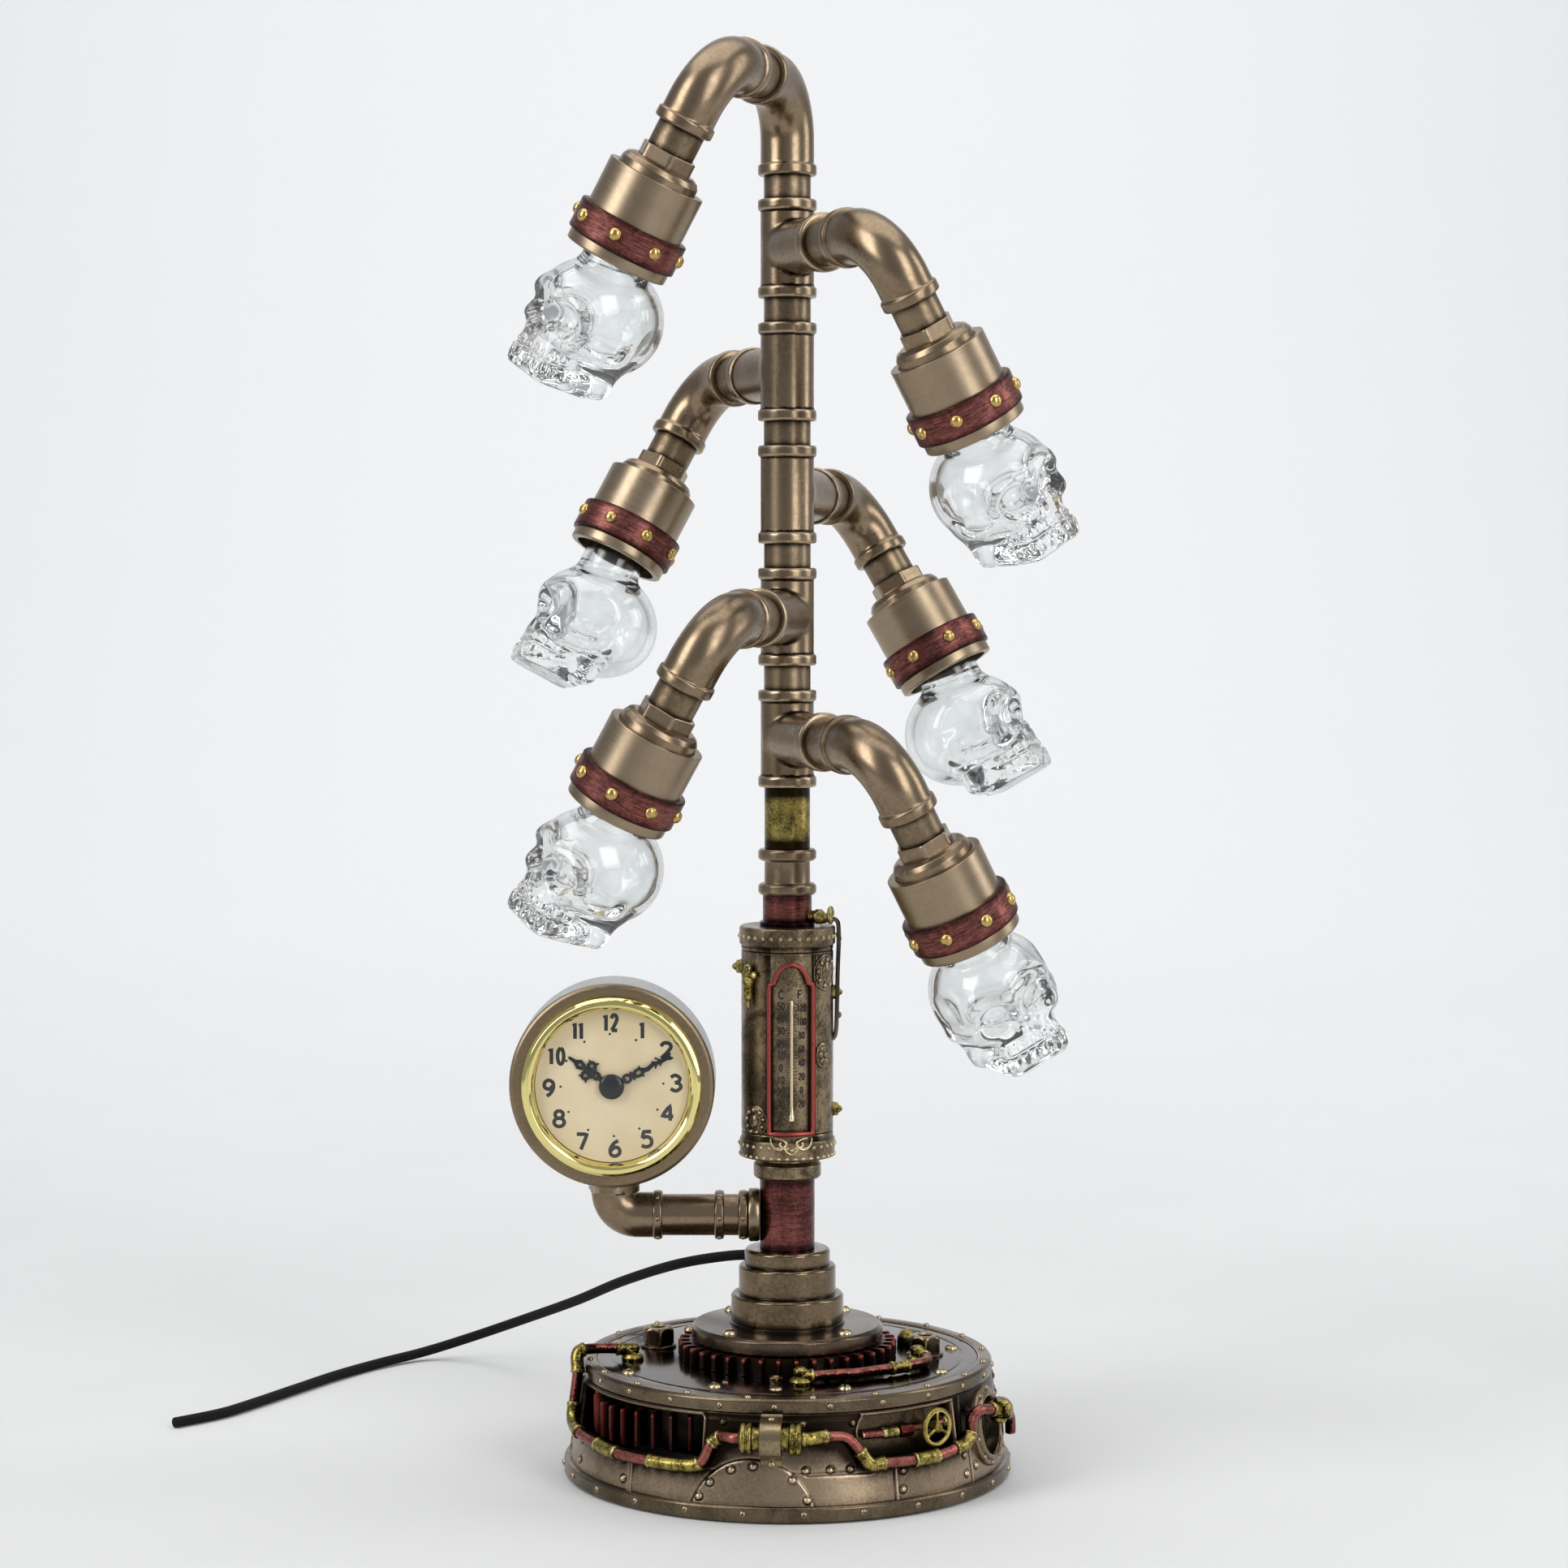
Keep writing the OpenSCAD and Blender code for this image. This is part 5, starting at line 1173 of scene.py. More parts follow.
# strap over the canister
c0 = on(-4, 32.7, 6.4)
cm = tr(*c0) @ rot("Z", -4)
arcp = [[0, 5.6, -12.6], [0, 4.5, -10.4], [0, 3.6, -8.6], [0, 2.2, -7.3], [0, 0.4, -6.8], [0, -3.2, -5.8], [0, -5.8, -3.2], [0, -6.6, 0], [0, -5.8, 3.2], [0, -3.2, 5.8], [0, 0.4, 6.7], [0, 3.4, 7.2], [0, 5.0, 8.0]]
ap = smooth_line(np.array(arcp), 6)


def ribbon(path, wdir, width, thick):
    """A flat strap: path, direction of its width, rounded edges."""
    p = np.asarray(path, float)
    t = np.gradient(p, axis=0)
    t /= np.linalg.norm(t, axis=1)[:, None]
    w = np.tile(np.asarray(wdir, float), (len(p), 1))
    nrm = np.cross(t, w)
    hw, ht = width / 2, thick / 2
    sec = [(-hw, -ht * 0.4), (-hw + 0.25, -ht), (hw - 0.25, -ht), (hw, -ht * 0.4), (hw, ht * 0.4), (hw - 0.25, ht), (-hw + 0.25, ht), (-hw, ht * 0.4)]
    v = np.stack([p + a * w + b * nrm for a, b in sec], 1).reshape(-1, 3)
    n, m = len(sec), len(p)
    j = np.arange(n)
    jn = (j + 1) % n
    q = np.vstack([np.stack([k * n + j, k * n + jn, (k + 1) * n + jn, (k + 1) * n + j], 1) for k in range(m - 1)])
    ca, cb = np.arange(n), (m - 1) * n + np.arange(n)
    qq = [[ca[0], ca[7], ca[4], ca[3]], [ca[0], ca[3], ca[2], ca[1]], [ca[7], ca[6], ca[5], ca[4]], [cb[3], cb[4], cb[7], cb[0]], [cb[1], cb[2], cb[3], cb[0]], [cb[4], cb[5], cb[6], cb[7]]]
    return Part(v, np.vstack([q, qq]))


sl = smooth_line(np.array([bp(92, r_, z_) for r_, z_ in STRAP]), 8)
side = ribbon(sl, (math.cos(math.radians(92)), math.sin(math.radians(92)), 0), 6.4, 1.7)
side += domes([(bp(92, 20.7, z_), bp(92, 1, 0)) for z_ in (212.5, 182)], 1.3, 0.9)
make("barrel_side_strap", side, M_PLATE)
strap = ribbon(ap, (1, 0, 0), 8.4, 1.1).at(cm)
strap += domes([((cm @ np.array([0, 3.9, -10.6, 1]))[:3], cm[:3, :3] @ np.array([0, -1, -0.4])), ((cm @ np.array([0, 1.6, 6.9, 1]))[:3], cm[:3, :3] @ np.array([0, -0.5, 1.0]))], 1.5, 1.2)
cl_o = make("pipe_clamp_rings", joined(cl), M_FIT, nodes=("pipe_clamps",))
make("canister_strap", strap, M_LIP)
make("clock_nut", hex_nut(10.6, 111.2, 116.6, 0.8).at(tr(X, 0, 0) @ rot("Z", 15)), M_FIT)

# ------------------------------------------------------------------ clock
case = lathe(fillet([(0, -14), (37.4, -14, 1.2), (39.7, -12.6, 1.2), (40.5, -10, 1.2), (40.5, 15.8, 0.4), (40.1, 17.4, 0.8), (39.0, 18, 0.6), (31.1, 18, 0.25), (31.1, 13, 0.2), (36.5, 13, 0.2), (36.5, -11.4, 1), (0, -11.4)], 4), 128)
cr_ = np.hypot(case.v[:, 0], case.v[:, 1])
case.tint = np.clip((cr_ - 39.9) / 0.4, 0, 1) * np.clip((17.0 - case.v[:, 2]) / 0.8, 0, 1)
make("clock_case_turned", case, M_CASE, nodes=("clock_case",), m=CLOCK_M)
bez = lathe(fillet([(30.45, 10.2), (30.8, 10.2, 0.1), (30.8, 18.3, 0.1), (35.4, 18.3, 0.15), (35.7, 19.0, 0.3), (35.3, 20.9, 0.9), (34.1, 22.2, 0.8), (32.4, 22.4, 0.6), (31.5, 21.8, 0.4), (31.0, 20.9, 0.2), (30.3, 19.0, 0.2), (30.35, 17.35, 0.05), (30.45, 17.2)], 4), 144, closed=True)
make("gilt_clock_bezel", bez, M_GOLD, body="clock_insert", nodes=("clock_bezel",), m=CLOCK_M, wear_and_shade=0.4)
rr_ = np.linspace(30.8, 0, 22)
lens = lathe(np.vstack([[[r_, 20.75 + 0.75 * (1 - (r_ / 31) ** 2)] for r_ in rr_[::-1]], [[30.85, 21.2]], [[r_, 21.45 + 0.85 * (1 - (r_ / 31) ** 2)] for r_ in rr_]]), 96)
make("domed_clock_lens", lens, M_LENS, body="clock_insert", nodes=("clock_lens",), m=CLOCK_M, sharp=0)
dial = lathe(fillet([(1.25, 16.6), (30.2, 16.6, 0.1), (30.2, 17.2, 0.15), (1.25, 17.2)], 3), 96, closed=True)
make("cream_clock_dial", dial, M_DIAL, body="clock_insert", nodes=("clock_dial",), m=CLOCK_M, wear_and_shade=0)
num = []
dm = lambda x, y: np.stack([np.asarray(x, float), np.asarray(y, float), np.full(np.shape(x), 17.2)], -1)
places = {"12": (-0.6, 25.0), "1": (12.0, 22.0), "2": (21.4, 14.0), "3": (25.2, 1.2), "4": (21.9, -10.6), "5": (13.7, -21.0), "6": (1.2, -24.6), "7": (-11.7, -22.0), "8": (-20.7, -12.9), "9": (-24.6, -0.8), "10": (-21.9, 11.8), "11": (-13.2, 21.8)}
dots = [(-0.7, 20.6), (9.6, 18.2), (17.3, 11.0), (20.3, 1.0), (17.9, -9.3), (10.8, -16.8), (0.8, -19.8), (-9.3, -17.3), (-17.0, -10.2), (-20.1, -0.2), (-17.8, 10.0), (-10.7, 17.5)]
for t, (x, y) in places.items():
    wide = {"1": 2.6, "11": 1.9, "12": 2.6, "10": 2.9}.get(t, 4.8)
    p = label(t, x, y, wide, 6.2, dm, 0.74, 0.3)
    # printed: thin strokes that stand 0.06 mm proud
    p.v[:, 2] = 17.2 + (p.v[:, 2] - 17.2) * 0.1
    num.append(p)
for x, y in dots:
    p = lathe([(0, 17.18), (0.48, 17.18), (0.48, 17.25), (0, 17.26)], 14)
    p.v[:, :2] += (x, y)
    num.append(p)
make("clock_numerals", joined(num), M_INK, body="clock_insert", m=CLOCK_M)


def flat_ring(p, c, rx, ry, w):
    q = np.hypot((p[:, 0] - c[0]) / rx, (p[:, 1] - c[1]) / ry)
    return np.abs(q - 1) * min(rx, ry) - w


def cap2(p, a, b, r0, r1=None):
    r1 = r0 if r1 is None else r1
    a, b = np.asarray(a, float), np.asarray(b, float)
    ab = b - a
    t = np.clip(((p[:, :2] - a) @ ab) / (ab @ ab), 0, 1)
    return np.hypot(*(p[:, :2] - a - t[:, None] * ab).T) - (r0 + (r1 - r0) * t)


def hour_sdf(p):
    d = cap2(p, (0, 0), (0, 0.01), 3.6)
    d = np.minimum(d, cap2(p, (0, 3), (0, 6.0), 1.2, 1.0))
    d = np.minimum(d, flat_ring(p, (0, 7.4), 1.15, 1.15, 0.62))
    d = np.minimum(d, cap2(p, (0, 8.6), (0, 13.4), 0.95))
    d = np.minimum(d, cap2(p, (-1.2, 6.5), (1.2, 6.5), 0.5, 0.5))
    for s in (-1, 1):
        d = np.minimum(d, flat_ring(p, (s * 2.25, 10.9), 1.35, 1.35, 0.68))
        d = np.minimum(d, cap2(p, (s * 3.6, 10.0), (s * 4.5, 9.2), 0.6, 0.25))
        d = np.minimum(d, cap2(p, (s * 3.2, 12.0), (s * 3.6, 13.1), 0.6, 0.25))
        d = np.minimum(d, cap2(p, (s * 1.4, 8.9), (s * 2.0, 8.5), 0.5, 0.3))
        d = np.minimum(d, cap2(p, (s * 1.3, 14.8), (s * 1.9, 15.5), 0.5, 0.25))
    d = np.minimum(d, flat_ring(p, (0, 15.0), 1.15, 1.7, 0.62))
    d = np.minimum(d, cap2(p, (0, 16.6), (0, 20.0), 0.85, 0.55))
    return smax(d, np.abs(p[:, 2] - 17.95) - 0.25, 0.15)


def minute_sdf(p):
    d = cap2(p, (0, 0), (0, 0.01), 4.0)
    d = np.minimum(d, cap2(p, (0, 3), (0, 5.4), 1.1))
    d = np.minimum(d, flat_ring(p, (0, 6.9), 1.4, 1.5, 0.6))
    d = np.minimum(d, cap2(p, (0, 8.6), (0, 9.9), 0.9))
    d = np.minimum(d, cap2(p, (-1.5, 9.2), (1.5, 9.4), 0.5))
    d = np.minimum(d, flat_ring(p, (0, 12.0), 1.25, 1.9, 0.62))
    for s in (-1, 1):
        d = np.minimum(d, cap2(p, (s * 1.4, 12.6), (s * 2.2, 13.4), 0.55, 0.25))
        d = np.minimum(d, cap2(p, (s * 0.6, 19.4), (s * 1.5, 18.6), 0.55, 0.25))
        d = np.minimum(d, cap2(p, (s * 0.6, 21.6), (s * 1.6, 20.8), 0.55, 0.25))
        d = np.minimum(d, cap2(p, (s * 0.3, 24.6), (s * 1.0, 26.5), 0.6, 0.4))
    d = np.minimum(d, cap2(p, (0, 13.8), (0.4, 16.0), 0.95))
    d = np.minimum(d, cap2(p, (0.4, 16.0), (-0.35, 18.6), 0.85))
    d = np.minimum(d, cap2(p, (-0.35, 18.6), (0.2, 21.4), 0.8))
    d = np.minimum(d, cap2(p, (0.2, 21.4), (0, 25.4), 0.8, 0.85))
    return smax(d, np.abs(p[:, 2] - 18.95) - 0.25, 0.15)


hh = nets(hour_sdf, (-6, -4.6, 17.4), (6, 21.4, 18.5), 0.2)
make("ornate_hour_hand", hh.at(rot("Z", -304.5)), M_HAND, body="hour_hand", nodes=("hour_hand",), m=CLOCK_M, wear_and_shade=0.2)
mh = nets(minute_sdf, (-4.8, -4.8, 18.4), (4.8, 28, 19.5), 0.2).at(rot("Z", -62.5))
mh = mh + lathe(np.vstack([[[0, 18.9], [4.9, 18.9], [5.0, 19.1]], [[5.0 * math.cos(t), 19.1 + 1.5 * math.sin(t)] for t in np.linspace(0.15, 1.5, 9)], [[0, 20.6]]]), 40)
make("ornate_minute_hand", mh, M_HAND, body="minute_hand", nodes=("minute_hand",), m=CLOCK_M, wear_and_shade=0.2)

# ------------------------------------------------------------------ base: pipes first, their line also sets the painted shade on the skirt behind them
V = np.array
RUN_A = [V([-61.4, -8.6, 49]), V([-68, -9.5, 50.2]), V([-80, -13.5, 50.6]), on(-80, 48.6, 4), on(-78, 42), on(-77, 31), on(-75, 24.5), on(-68, 22),
         on(-57, 21), on(-48, 20), on(-37, 20), on(-27, 20.3), on(-22, 22), on(-19.5, 29), on(-17, 32), on(-13.4, 32.6, 6.4), on(-11.4, 32.7, 6.4)]
KIND_A = [1, 0, 1, 1, 0, 1, 1, 0, 1, 0, 1, 1, 0, 1, 0, 0]
RUN_B = [on(3.4, 32.7, 6.4), on(5.4, 32.8, 6.4), on(10, 33, 4.5), on(15, 32), on(18.2, 27), on(21, 21.6), on(25, 21.4), on(33, 21), on(41, 21), on(47, 22), on(52, 23),
         on(54.5, 26.5), on(54.8, 31, 4), on(57.5, 34, 5.5), on(62.5, 33, 6.6), on(67, 31.5, 7.4), on(71.5, 29.5, 7.6), on(75, 25.5, 7), on(76, 19.5, 6)]
KIND_B = [1, 1, 0, 0, 1, 1, 0, 1, 0, 1, 1, 0, 0, 0, 1, 1, 0, 0]
RUN_C = [V(p, float) for p in ([5, -52, 49], [10, -51, 48.4], [18, -48, 48.3], [27, -46, 48.3], [34, -41.5, 48.3], [40, -38.5, 48.4], [47, -33.5, 48.4], [54, -26, 48.4], [54.5, -18, 48.4], [51.5, -13, 49])]
KIND_C = [1, 0, 0, 0, 0, 1, 0, 0, 1]


def pipe_run(pts, kind, rc, rb):
    """Copper and brass lengths along one smooth line, brass with swollen ends."""
    n = 10
    line_ = smooth_line(np.array(pts), n)
    copper, brass = [], []
    i = 0
    while i < len(kind):
        j = i
        while j < len(kind) and kind[j] == kind[i]:
            j += 1
        seg = line_[i * n:j * n + 1]
        if kind[i] == 0:
            a, b = max(0, i * n - 2), min(len(line_) - 1, j * n + 2)
            copper.append(sweep(line_[a:b + 1], rc, 20))
        else:
            ln_ = float(np.linalg.norm(np.diff(seg, axis=0), axis=1).sum())
            e = min(1.5, ln_ * 0.25)
            p_, r_ = along(seg, [(0, rb - 0.35), (0.15, rb + 0.1), (0.45, rb + 0.28), (e - 0.3, rb + 0.28), (e, rb + 0.02), (e + 0.05, rb), (ln_ - e - 0.05, rb), (ln_ - e, rb + 0.02), (ln_ - e + 0.3, rb + 0.28), (ln_ - 0.45, rb + 0.28), (ln_ - 0.15, rb + 0.1), (ln_, rb - 0.35)])
            brass.append(sweep(p_, r_, 24))
        i = j
    return joined(copper), joined(brass), line_


ca, ba, la_ = pipe_run(RUN_A, KIND_A, 2.1, 2.6)
cb_, bb, lb_ = pipe_run(RUN_B, KIND_B, 2.1, 2.6)
cc, bc, lc_ = pipe_run(RUN_C, KIND_C, 2.0, 2.4)
cop = joined([ca, cb_, cc])
# copper, brass and canister take painted shade on their sides toward the skirt and on their undersides
make("copper_pipe_runs", cop, M_COPPER, nodes=("base_copper_pipes",), wear_and_shade=1.0, shade=painted_shade_side(cop))
brass = [ba, bb, bc]
cap_b = lathe(fillet([(0, 0), (4.4, 0, 0.2), (4.4, 1.2, 0.6), (3.5, 2.4, 0.4), (2.6, 2.8, 0.3), (2.5, 3.6, 0.3), (2.9, 4.2, 0.5), (2.7, 5.6, 0.9), (1.6, 6.5, 0.6), (0, 6.7)], 4), 32)
for x, y in ((-61.4, -8.6), (5, -52), (51.5, -13)):
    brass.append(cap_b.at(tr(x, y, 45.5)))
brass.append(lathe(fillet([(0, 0), (4.6, 0, 0.2), (4.7, 1.6, 0.8), (4.3, 3.6, 1.2), (3.0, 5.4, 1.2), (1.2, 6.2, 0.6), (0, 6.3)], 4), 32).at(tr(49, 20, 45.5)))
# cross valve on the porthole's pipe
vm = tr(*on(67, 31.5, 7.4)) @ rot("Z", 67)
valve = lathe(fillet([(0, -4.6), (2.6, -4.6, 0.4), (3.3, -4.0, 0.5), (3.3, -2.6, 0.5), (2.3, -2.1, 0.3), (2.3, 2.1, 0.3), (3.3, 2.6, 0.5), (3.3, 4.0, 0.5), (2.6, 4.6, 0.4), (0, 4.6)], 4), 28)
brass.append(valve.at(vm @ rot("X", 12)))
brass.append(valve.at(vm @ rot("X", 90) @ rot("Y", 8)))
brass = joined(brass)
make("brass_pipe_fittings", brass, M_BRASS, nodes=("base_brass_fittings",), shade=painted_shade_side(brass, 0.36))
cm = tr(*on(-4, 32.7, 6.4)) @ rot("Z", -4)
can = fillet([(0, -12.4), (2.6, -12.4, 0.3), (3.6, -11.9, 0.5), (5.4, -11.6, 0.4), (6.2, -11.0, 0.6), (6.2, -9.8, 0.5), (5.6, -9.4, 0.2), (5.6, -9.0, 0.2), (6.1, -8.6, 0.5), (6.1, -7.4, 0.5), (5.0, -6.9, 0.4), (4.6, -6.0, 0.4), (4.6, 6.0, 0.4), (5.0, 6.9, 0.4), (6.1, 7.4, 0.5), (6.1, 8.6, 0.5), (5.6, 9.0, 0.2), (5.6, 9.4, 0.2), (6.2, 9.8, 0.5), (6.2, 11.0, 0.6), (5.4, 11.6, 0.4), (3.4, 12.0, 0.4), (0, 12.0)], 3)
can = lathe(can, 56).at(cm @ rot("Y", 90))
make("ribbed_brass_canister", can, M_BRASS, nodes=("brass_canister",), shade=painted_shade_side(can, 0.34))

# ------------------------------------------------------------------ base: skirt
da = np.linspace(-180, 180, 1080, endpoint=False)
dz = np.linspace(6.3, 40.2, 86)
A, Z = np.meshgrid(da, dz, indexing="ij")


def da_of(a0, r=84.0):
    return np.radians((A - a0 + 180) % 360 - 180) * r


def rivet_row(H, spots, r=1.35, h=1.0):
    for a0, z0 in spots:
        s_ = da_of(a0)
        near = (np.abs(s_) < 3) & (np.abs(Z - z0) < 3)
        e = dome(s_, Z - z0, r, h)
        H = np.where(near & (e > 0), H + e, H)
        H = np.where(near, H - 0.16 * np.exp(-((np.hypot(s_, Z - z0) - r - 0.35) / 0.35) ** 2), H)
    return H


S1 = da_of(-50)
win1 = rbox(S1, Z - 29.75, 39.6, 8.75, 0.6)
S2 = da_of(34.2)
edge_l = -22.4 + 7.0 * np.clip((31.0 - Z) / 9.0, 0, 1) ** 1.6 + 2.4 * np.clip((Z - 33.5) / 5.0, 0, 1) ** 1.6
win2 = np.maximum(np.maximum(edge_l - S2, S2 - 22.8), np.abs(Z - 30.25) - 8.25)
win3 = np.hypot(da_of(68.5), Z - 24.3) - 12.5
H = np.zeros_like(Z)
# middle plate between the windows, plates of the skirt, seams
mid = np.maximum(np.abs(da_of(-2.2)) - 29.5, np.abs(Z - 28.6) - 9.6)
H += 0.45 * inside(mid, 0.7)
disc = np.hypot(da_of(-9), Z + 0.5) - 24.0
H = np.where(disc < 0.6, np.maximum(H * inside(-disc, 0.8), 0.75 * inside(disc, 0.6)), H)
H -= 0.3 * np.exp(-((disc - 0.3) / 0.3) ** 2)
H = H - 0.35 * np.exp(-((Z - 17.4) / 0.32) ** 2) * inside(np.abs(da_of(13.5)) - 13, 2) * (disc > 0.5)
for a0 in (-45, 28.5, 56, 92, 128, 164, -160, -124, -90):
    s_ = da_of(a0)
    low = inside(Z - 20.0, 1.0) if abs(a0) < 80 else 1.0
    H += (0.35 * inside(np.abs(s_ - 0.75) - 0.55, 0.5) - 0.45 * np.exp(-(s_ / 0.3) ** 2)) * low
for a0 in (110, 180, -110):
    d3 = np.hypot(da_of(a0), Z + 0.5) - 24.0
    H = np.where(d3 < 0.6, np.maximum(H, 0.75 * inside(d3, 0.6)), H)
    H -= 0.3 * np.exp(-((d3 - 0.3) / 0.3) ** 2)
back = inside(80 - np.abs(A), 4)
H -= 0.35 * np.exp(-((Z - 27.0) / 0.32) ** 2) * back
# bright lips round the windows
for wsd, hh_ in ((win1, 0.7), (win2, 0.9)):
    H += hh_ * np.exp(-((wsd - 0.9) / 0.7) ** 2)
# folds left of the left window and right of the recess
H += 0.8 * np.exp(-(da_of(-80.5) / 1.2) ** 2) * inside(20 - Z, 1)
H += 0.7 * np.exp(-(da_of(53.2) / 0.9) ** 2) * inside(21 - Z, 1)
spots = [(-17.2, 37.0), (4.2, 37.0), (17.4, 36.6), (4.7, 19.6), (11, 19.6), (16.3, 19.6), (-14.5, 19.6), (-8.8, 21.2), (-20, 14.4), (-22.8, 8.9), (1.3, 16.4), (5.0, 8.8),
         (-47.6, 17.6), (-47.3, 10.2), (-71, 17.8), (-71, 10.2), (31.2, 17.0), (30.8, 10.0), (53.8, 17.4), (53.8, 10.2), (22.8, 24.2), (58.6, 12.0), (57.8, 33.0)]
for a0 in (110, 180, -110):
    spots += [(a0 + 15.0 * math.cos(t), -0.5 + 21.6 * math.sin(t)) for t in np.radians([28, 50, 72, 90, 108, 130, 152])]
for a0 in (92, 128, 164, -160, -124, -90):
    spots += [(a0 + 2.6, 31.0), (a0 + 2.6, 37.4), (a0 - 2.4, 37.4), (a0 - 2.4, 31.0), (a0 - 2.4, 24.0), (a0 + 2.6, 24.0), (a0 + 2.6, 9.6), (a0 - 2.4, 9.6)]
H = rivet_row(H, spots)
keep = np.minimum(np.minimum(win1, win2), win3) > 0
skirt_part = sheet_of_revolution(dr, da, dz, H, keep=keep, inner=3.0)
vv = skirt_part.v
rr_v = np.hypot(vv[:, 0], vv[:, 1])
# painted shade on the skirt: darker near the pipe runs, next to the lower and upper hoops, towards the top, and on the
# inner faces of the sheet
skirt_painted_shade = np.zeros(len(vv))
out_ = rr_v > dr(vv[:, 2]) - 1.5
pl = np.vstack([la_[30:], lb_[::1]])
for blk in range(0, len(vv), 20000):
    sl_ = slice(blk, blk + 20000)
    d_ = np.sqrt(((vv[sl_, None] - pl[None, ::4]) ** 2).sum(2)).min(1)
    skirt_painted_shade[sl_] = 0.56 * np.exp(-np.maximum(d_ - 3.4, 0) / 2.8)
skirt_painted_shade += 0.22 * np.exp(-(vv[:, 2] - 6.3) / 1.6) + 0.36 * np.exp(-(40.2 - vv[:, 2]) / 4.2) + 0.15 * np.clip((vv[:, 2] - 17) / 6, 0, 1)
skirt_painted_shade += np.where(out_, 0, 0.25)
make("riveted_skirt", skirt_part, M_CAST, nodes=("base_drum",), sharp=0, wear_and_shade=2.2, rounds=2, shade=skirt_painted_shade)

lo_h = lathe(fillet([(86.4, 0.5), (88.2, 0.5, 0.4), (89.0, 1.2, 0.7), (89.0, 5.7, 0.6), (88.3, 6.5, 0.5), (86.4, 6.7), (84.0, 6.7), (84.0, 0.5)], 4), 240, closed=True)
hi_h = lathe(fillet([(76.0, 41.0), (78.5, 40.0), (80.6, 40.0, 0.4), (81.5, 40.7, 0.6), (81.5, 45.0, 0.8), (80.6, 46.0, 0.6), (77.0, 46.1, 0.6), (76.0, 45.7, 0.2)], 4), 240, closed=True)
hoops = [lo_h, hi_h]
hoops.append(domes([radial(15 * k + 4, 3.7, 88.9) for k in range(24)], 1.35, 1.0))
hoops.append(domes([radial(15 * k - 3.5, 42.9, 81.4) for k in range(24)], 1.3, 0.95))
hoops.append(domes([(bp(18 * k + 7, 78.8, 46.0), V([0, 0, 1.0])) for k in range(20)], 1.35, 1.1))
make("riveted_hoops", joined(hoops), M_HOOP, nodes=("base_hoops",))

plate = lathe(fillet([(0, 42.5), (75.8, 42.5, 0.2), (75.8, 45.5, 0.3), (70.6, 45.5, 0.2), (70.2, 45.2, 0.15), (69.6, 45.2, 0.15), (69.2, 45.5, 0.2), (0, 45.5)], 3), 180)
make("glossy_top_plate", plate, M_PLATE, nodes=("base_top_plate",))


def gear(R, n, z0, z1, depth, tip=0.30, root=0.46, bevel=0.5, per=32, low=1.0):
    """Spur gear; the corners of its teeth carry tint 1."""
    N = n * per

    def shape(th):
        f = np.abs(((th * n / (2 * math.pi)) % 1.0) - 0.5) * 2
        t = np.clip((f - (1 - root)) / (root - tip), 0, 1)
        return R - depth + depth * t, f

    def rf(th, k):
        r, f = shape(th)
        lim = [R - bevel, R, R, R, R, R - bevel][k]
        return np.minimum(r, lim)

    zs = [z0, z0 + bevel, z0 + 1.6, z1 - 1.6, z1 - bevel, z1]
    p = polar(rf, zs, N)
    th = np.linspace(0, 2 * math.pi, N, endpoint=False)
    r, f = shape(th)
    edge_ = np.exp(-((f - (1 - tip)) / 0.08) ** 2)
    crown = np.clip((r - (R - depth * 0.25)) / (depth * 0.2), 0, 1)
    tint = np.concatenate([np.maximum(crown * w_, edge_ * crown * e_) for w_, e_ in ((0.0, low), (0.1 * low, low), (0.0, low), (0.0, max(low, 0.35)), (0.9, 1), (0.9, 1))] + [[0, 0]])
    p.tint = tint
    return p


g1 = gear(40.3, 34, 21.6, 35.4, 6.6, 0.17, 0.3)
make("window_gear_teeth", g1.at(tr(*bp(-58, 42.2, 0)) @ rot("Z", 3)), M_GEAR, nodes=("window_gear",))
g2 = gear(43.5, 38, 45.5, 52.2, 4.4, 0.18, 0.3, low=0.1)
make("neck_gear_teeth", g2, M_GEAR, nodes=("neck_gear",))
fl = lathe(fillet([(0, 52.3), (37.1, 52.3, 0.4), (38.0, 53.1, 0.6), (38.0, 57.7, 0.7), (36.9, 58.9, 0.7), (0, 58.9)], 4), 144)
make("round_neck_flange", fl, M_FLANGE, nodes=("neck_flange",))
nk = lathe(fillet([(0, 58.9), (22.9, 58.9, 0.2), (22.9, 59.7, 0.4), (22.4, 60.0, 0.2), (22.4, 61.0), (22.4, 62.6), (22.4, 70.0, 0.7), (21.6, 70.9, 0.5), (20.5, 70.95), (19.5, 71.0, 0.2), (19.3, 71.5, 0.2), (19.3, 72.6), (19.3, 74.2), (19.3, 81.6, 0.7), (18.5, 82.4, 0.5), (17.7, 82.45), (17.2, 82.5, 0.1), (17.0, 82.9, 0.2), (17.0, 83.8), (17.0, 85.0), (17.0, 88.0, 0.8), (16.1, 88.9, 0.6), (13.0, 88.95), (11.6, 88.95), (0, 88.9)], 4), 120)
nr = np.hypot(nk.v[:, 0], nk.v[:, 1])
nk_shade = np.max([0.42 * np.exp(-np.hypot(nr - r_, nk.v[:, 2] - z_) / 1.1) for r_, z_ in ((22.6, 59.9), (19.4, 71.0), (17.1, 82.5), (10.9, 88.95))], axis=0)
make("stepped_neck_turned", nk, M_NECK, nodes=("stepped_neck",), shade=nk_shade)


